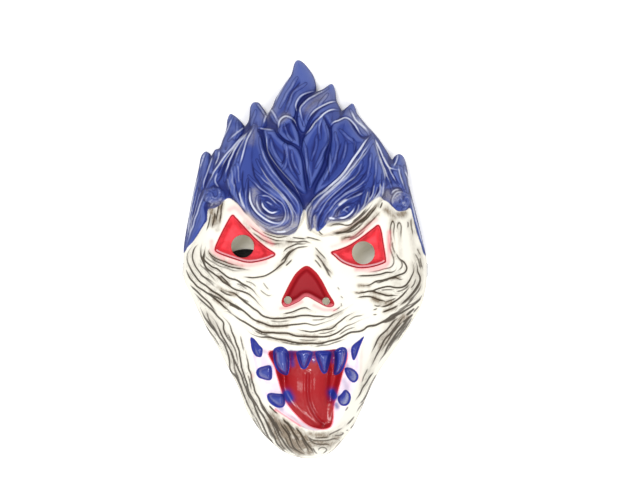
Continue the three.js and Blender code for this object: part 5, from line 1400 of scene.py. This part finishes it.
class MASK_OT_stage(Operator):
    """Camera over the lying mask, white floor and soft light"""
    bl_idname = "mask.stage"
    bl_label = "Stage"

    def execute(self, context):
        scene = context.scene
        settings = scene.mask_stage
        scene.view_settings.view_transform = "Standard"
        camera = bpy.data.cameras.new("camera")
        camera.sensor_width = 36
        camera.lens = 36 * (settings.camera_height - 0.015) / settings.view_width
        camera.clip_end = 20
        eye = bpy.data.objects.new("camera", camera)
        eye.location = (0.0100, 0.01287, settings.camera_height)
        scene.collection.objects.link(eye)
        scene.camera = eye

        bm = bmesh.new()
        bmesh.ops.create_grid(bm, x_segments=8, y_segments=8, size=3)
        bmesh.ops.translate(bm, verts=bm.verts[:], vec=(0, 0, -0.0002))
        floor = new_piece("floor", bm, glowing_floor_paper(scene.mask_colours))
        floor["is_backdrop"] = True

        world = bpy.data.worlds.new("studio")
        world.use_nodes = True
        world.node_tree.nodes["Background"].inputs["Strength"].default_value = settings.sky
        world.node_tree.nodes["Background"].inputs["Color"].default_value = (1, 1, 1, 1)
        scene.world = world
        self.add_light(scene, "key", (-0.4, 0.5, 2.6), settings.key, 0.6, (1, 1, 1))
        self.add_light(scene, "fill", (0.6, -0.4, 2.4), settings.key * 0.4, 0.6, (1, 1, 1))
        self.add_light(scene, "low", (0.15, -1.5, 1.1), settings.key * 0.12, 0.4, (1, 1, 1))
        self.add_light(scene, "front", (0, -1.6, 2.3), settings.key * 0.35, 1.6, (1, 1, 1), 0.22)
        inside = self.add_light(scene, "under_mask", (0, 0, 0.032), settings.inside, 0.05, (1, 0.93, 0.74))
        inside.rotation_euler = (0, 0, 0)
        return {"FINISHED"}

    def add_light(self, scene, name, place, power, width, colour, height=None):
        """A soft light, square unless it is given a height, that looks at the mask."""
        light = bpy.data.lights.new(name, "AREA")
        light.energy = power
        light.shape = "RECTANGLE"
        light.size = width
        light.size_y = height or width
        light.color = colour
        lamp = bpy.data.objects.new(name, light)
        lamp.location = place
        lamp.visible_camera = False
        lamp.rotation_euler = Vector(place).to_track_quat("Z", "Y").to_euler()
        scene.collection.objects.link(lamp)
        return lamp


class MASK_OT_strap(Operator):
    """Elastic head strap from temple to temple"""
    bl_idname = "mask.strap"
    bl_label = "Elastic strap"

    def execute(self, context):
        sizes = context.scene.strap_sizes
        half = sizes.width / 2
        thin = sizes.thickness / 2
        flat = np.linspace(-1, 1, 17) * (half - thin)
        ribbed = [(u, thin * (0.9 + 0.1 * math.cos(u * 2 * math.pi / 0.00125))) for u in flat]
        section = ribbed + [(half, 0)] + [(u, -v) for u, v in reversed(ribbed)] + [(-half, 0)]
        centres = evenly(spline(STRAP_ROUTE, 0.0006), sizes.rings)
        bm = swept(centres, band_sides(centres), section)
        strap = new_piece("head_strap", bm, knitted_elastic(context.scene.mask_colours))
        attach(strap, "root")
        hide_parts("elastic_strap")
        float(lengths(centres)[-1])
        return {"FINISHED"}


class MASK_OT_staples(Operator):
    """Wire staples that hold the strap at both temples"""
    bl_idname = "mask.staples"
    bl_label = "Staples"

    def execute(self, context):
        wire = context.scene.strap_sizes.wire / 2
        turn = np.linspace(0, 2 * math.pi, 10, endpoint=False)
        section = [(wire * math.cos(a), wire * math.sin(a)) for a in turn]
        finish = staple_steel(context.scene.mask_colours)
        for name in ("strap_staple_left", "strap_staple_right"):
            low, high = (np.array(corner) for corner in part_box(name))
            outward = 1 if low[0] > 0 else -1
            crown, clinch = (high[0], low[0]) if outward > 0 else (low[0], high[0])
            crown -= outward * wire
            clinch += outward * wire
            level = (low[2] + high[2]) / 2
            start, end = low[1] + wire, high[1] - wire
            fold = (end - start) * 0.4
            route = [(clinch, start + fold), (clinch, start), (crown, start), (crown, end), (clinch, end),
                     (clinch, end - fold)]
            path = rounded_path(route, wire * 1.6)
            centres = np.column_stack([path, np.full(len(path), level)])
            across = np.tile((0.0, 0.0, 1.0), (len(centres), 1))
            piece = new_piece(name.replace("strap_staple", "wire_staple"), swept(centres, across, section), finish)
            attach(piece, "root")
            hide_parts(name)
        return {"FINISHED"}


def rounded_path(corners, radius):
    """A path through corners, each turned into a small arc."""
    corners = np.array(corners, float)
    path = [corners[0]]
    for before, corner, after in zip(corners, corners[1:], corners[2:]):
        start = corner + (before - corner) / np.linalg.norm(before - corner) * radius
        end = corner + (after - corner) / np.linalg.norm(after - corner) * radius
        for t in np.linspace(0, 1, 5):
            path.append(start * (1 - t) ** 2 + 2 * corner * t * (1 - t) + end * t * t)
    path.append(corners[-1])
    return np.array(path)


class MASK_OT_sheet(Operator):
    """Formed plastic sheet with its carved relief and paint"""
    bl_idname = "mask.sheet"
    bl_label = "Mask sheet"

    def execute(self, context):
        sizes = context.scene.mask_sizes
        plan = Plan()
        edge, outer, rim, fields = relief(plan, sizes)
        inner = inner_face(outer, sizes.wall / MM)
        bm = formed_sheet(plan, edge, outer, inner, rim, sizes)
        places = np.array([vert.co for vert in bm.verts])
        x, y, z = places.T
        behind = plan.sample(outer, x, y) - z
        in_wall = plan.sample(rim, x, y) > 0.8
        inside = np.where(in_wall & (behind > 0.6), 1.0, 0.0)
        bmesh.ops.scale(bm, verts=bm.verts[:], vec=(MM, MM, MM))
        sheet = new_piece("mask", bm, painted_plastic(context.scene.mask_colours))
        down = np.where(in_wall, 0, smooth(0.5, 7, behind))
        for name, values in fields.items():
            fade = 0.85 if name in FADES_DOWN_THE_SIDE else 0
            add_field(sheet.data, name, plan.sample(values, x, y) * (1 - fade * down))
        add_field(sheet.data, "inside", inside)
        if min(face.area for face in sheet.data.polygons) < 0:
            raise RuntimeError("the sheet has a broken face")
        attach(sheet, "root")
        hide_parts("mask_shell")
        print("sheet triangles", sum(len(face.vertices) - 2 for face in sheet.data.polygons))
        return {"FINISHED"}


class MASK_PT_panel(Panel):
    """Sizes, colours and building steps of the mask"""
    bl_idname = "MASK_PT_panel"
    bl_label = "Clown mask"
    bl_space_type = "VIEW_3D"
    bl_region_type = "UI"
    bl_category = "Mask"

    def draw(self, context):
        for group in ("mask_stage", "strap_sizes", "mask_sizes", "mask_colours"):
            box = self.layout.box()
            settings = getattr(context.scene, group)
            for name in settings.__annotations__:
                box.prop(settings, name)
        for step in STEPS:
            self.layout.operator(step.bl_idname)


STEPS = (MASK_OT_stage, MASK_OT_strap, MASK_OT_staples, MASK_OT_sheet)
GROUPS = {"mask_sizes": MaskSizes, "strap_sizes": StrapSizes, "mask_colours": MaskColours,
          "mask_stage": StageSettings}
CLASSES = (*GROUPS.values(), *STEPS, MASK_PT_panel)


def register():
    for cls in CLASSES:
        bpy.utils.register_class(cls)
    for name, group in GROUPS.items():
        setattr(bpy.types.Scene, name, PointerProperty(type=group))


def unregister():
    for name in GROUPS:
        delattr(bpy.types.Scene, name)
    for cls in reversed(CLASSES):
        bpy.utils.unregister_class(cls)


def main():
    register()
    bpy.ops.mask.stage()
    bpy.ops.mask.strap()
    bpy.ops.mask.staples()
    bpy.ops.mask.sheet()
    boxes = {"cad": CAD_BOX, "visual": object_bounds()}
    {name: [list(map(float, corner)) for corner in box] for name, box in boxes.items()}


if __name__ == "__main__":
    main()
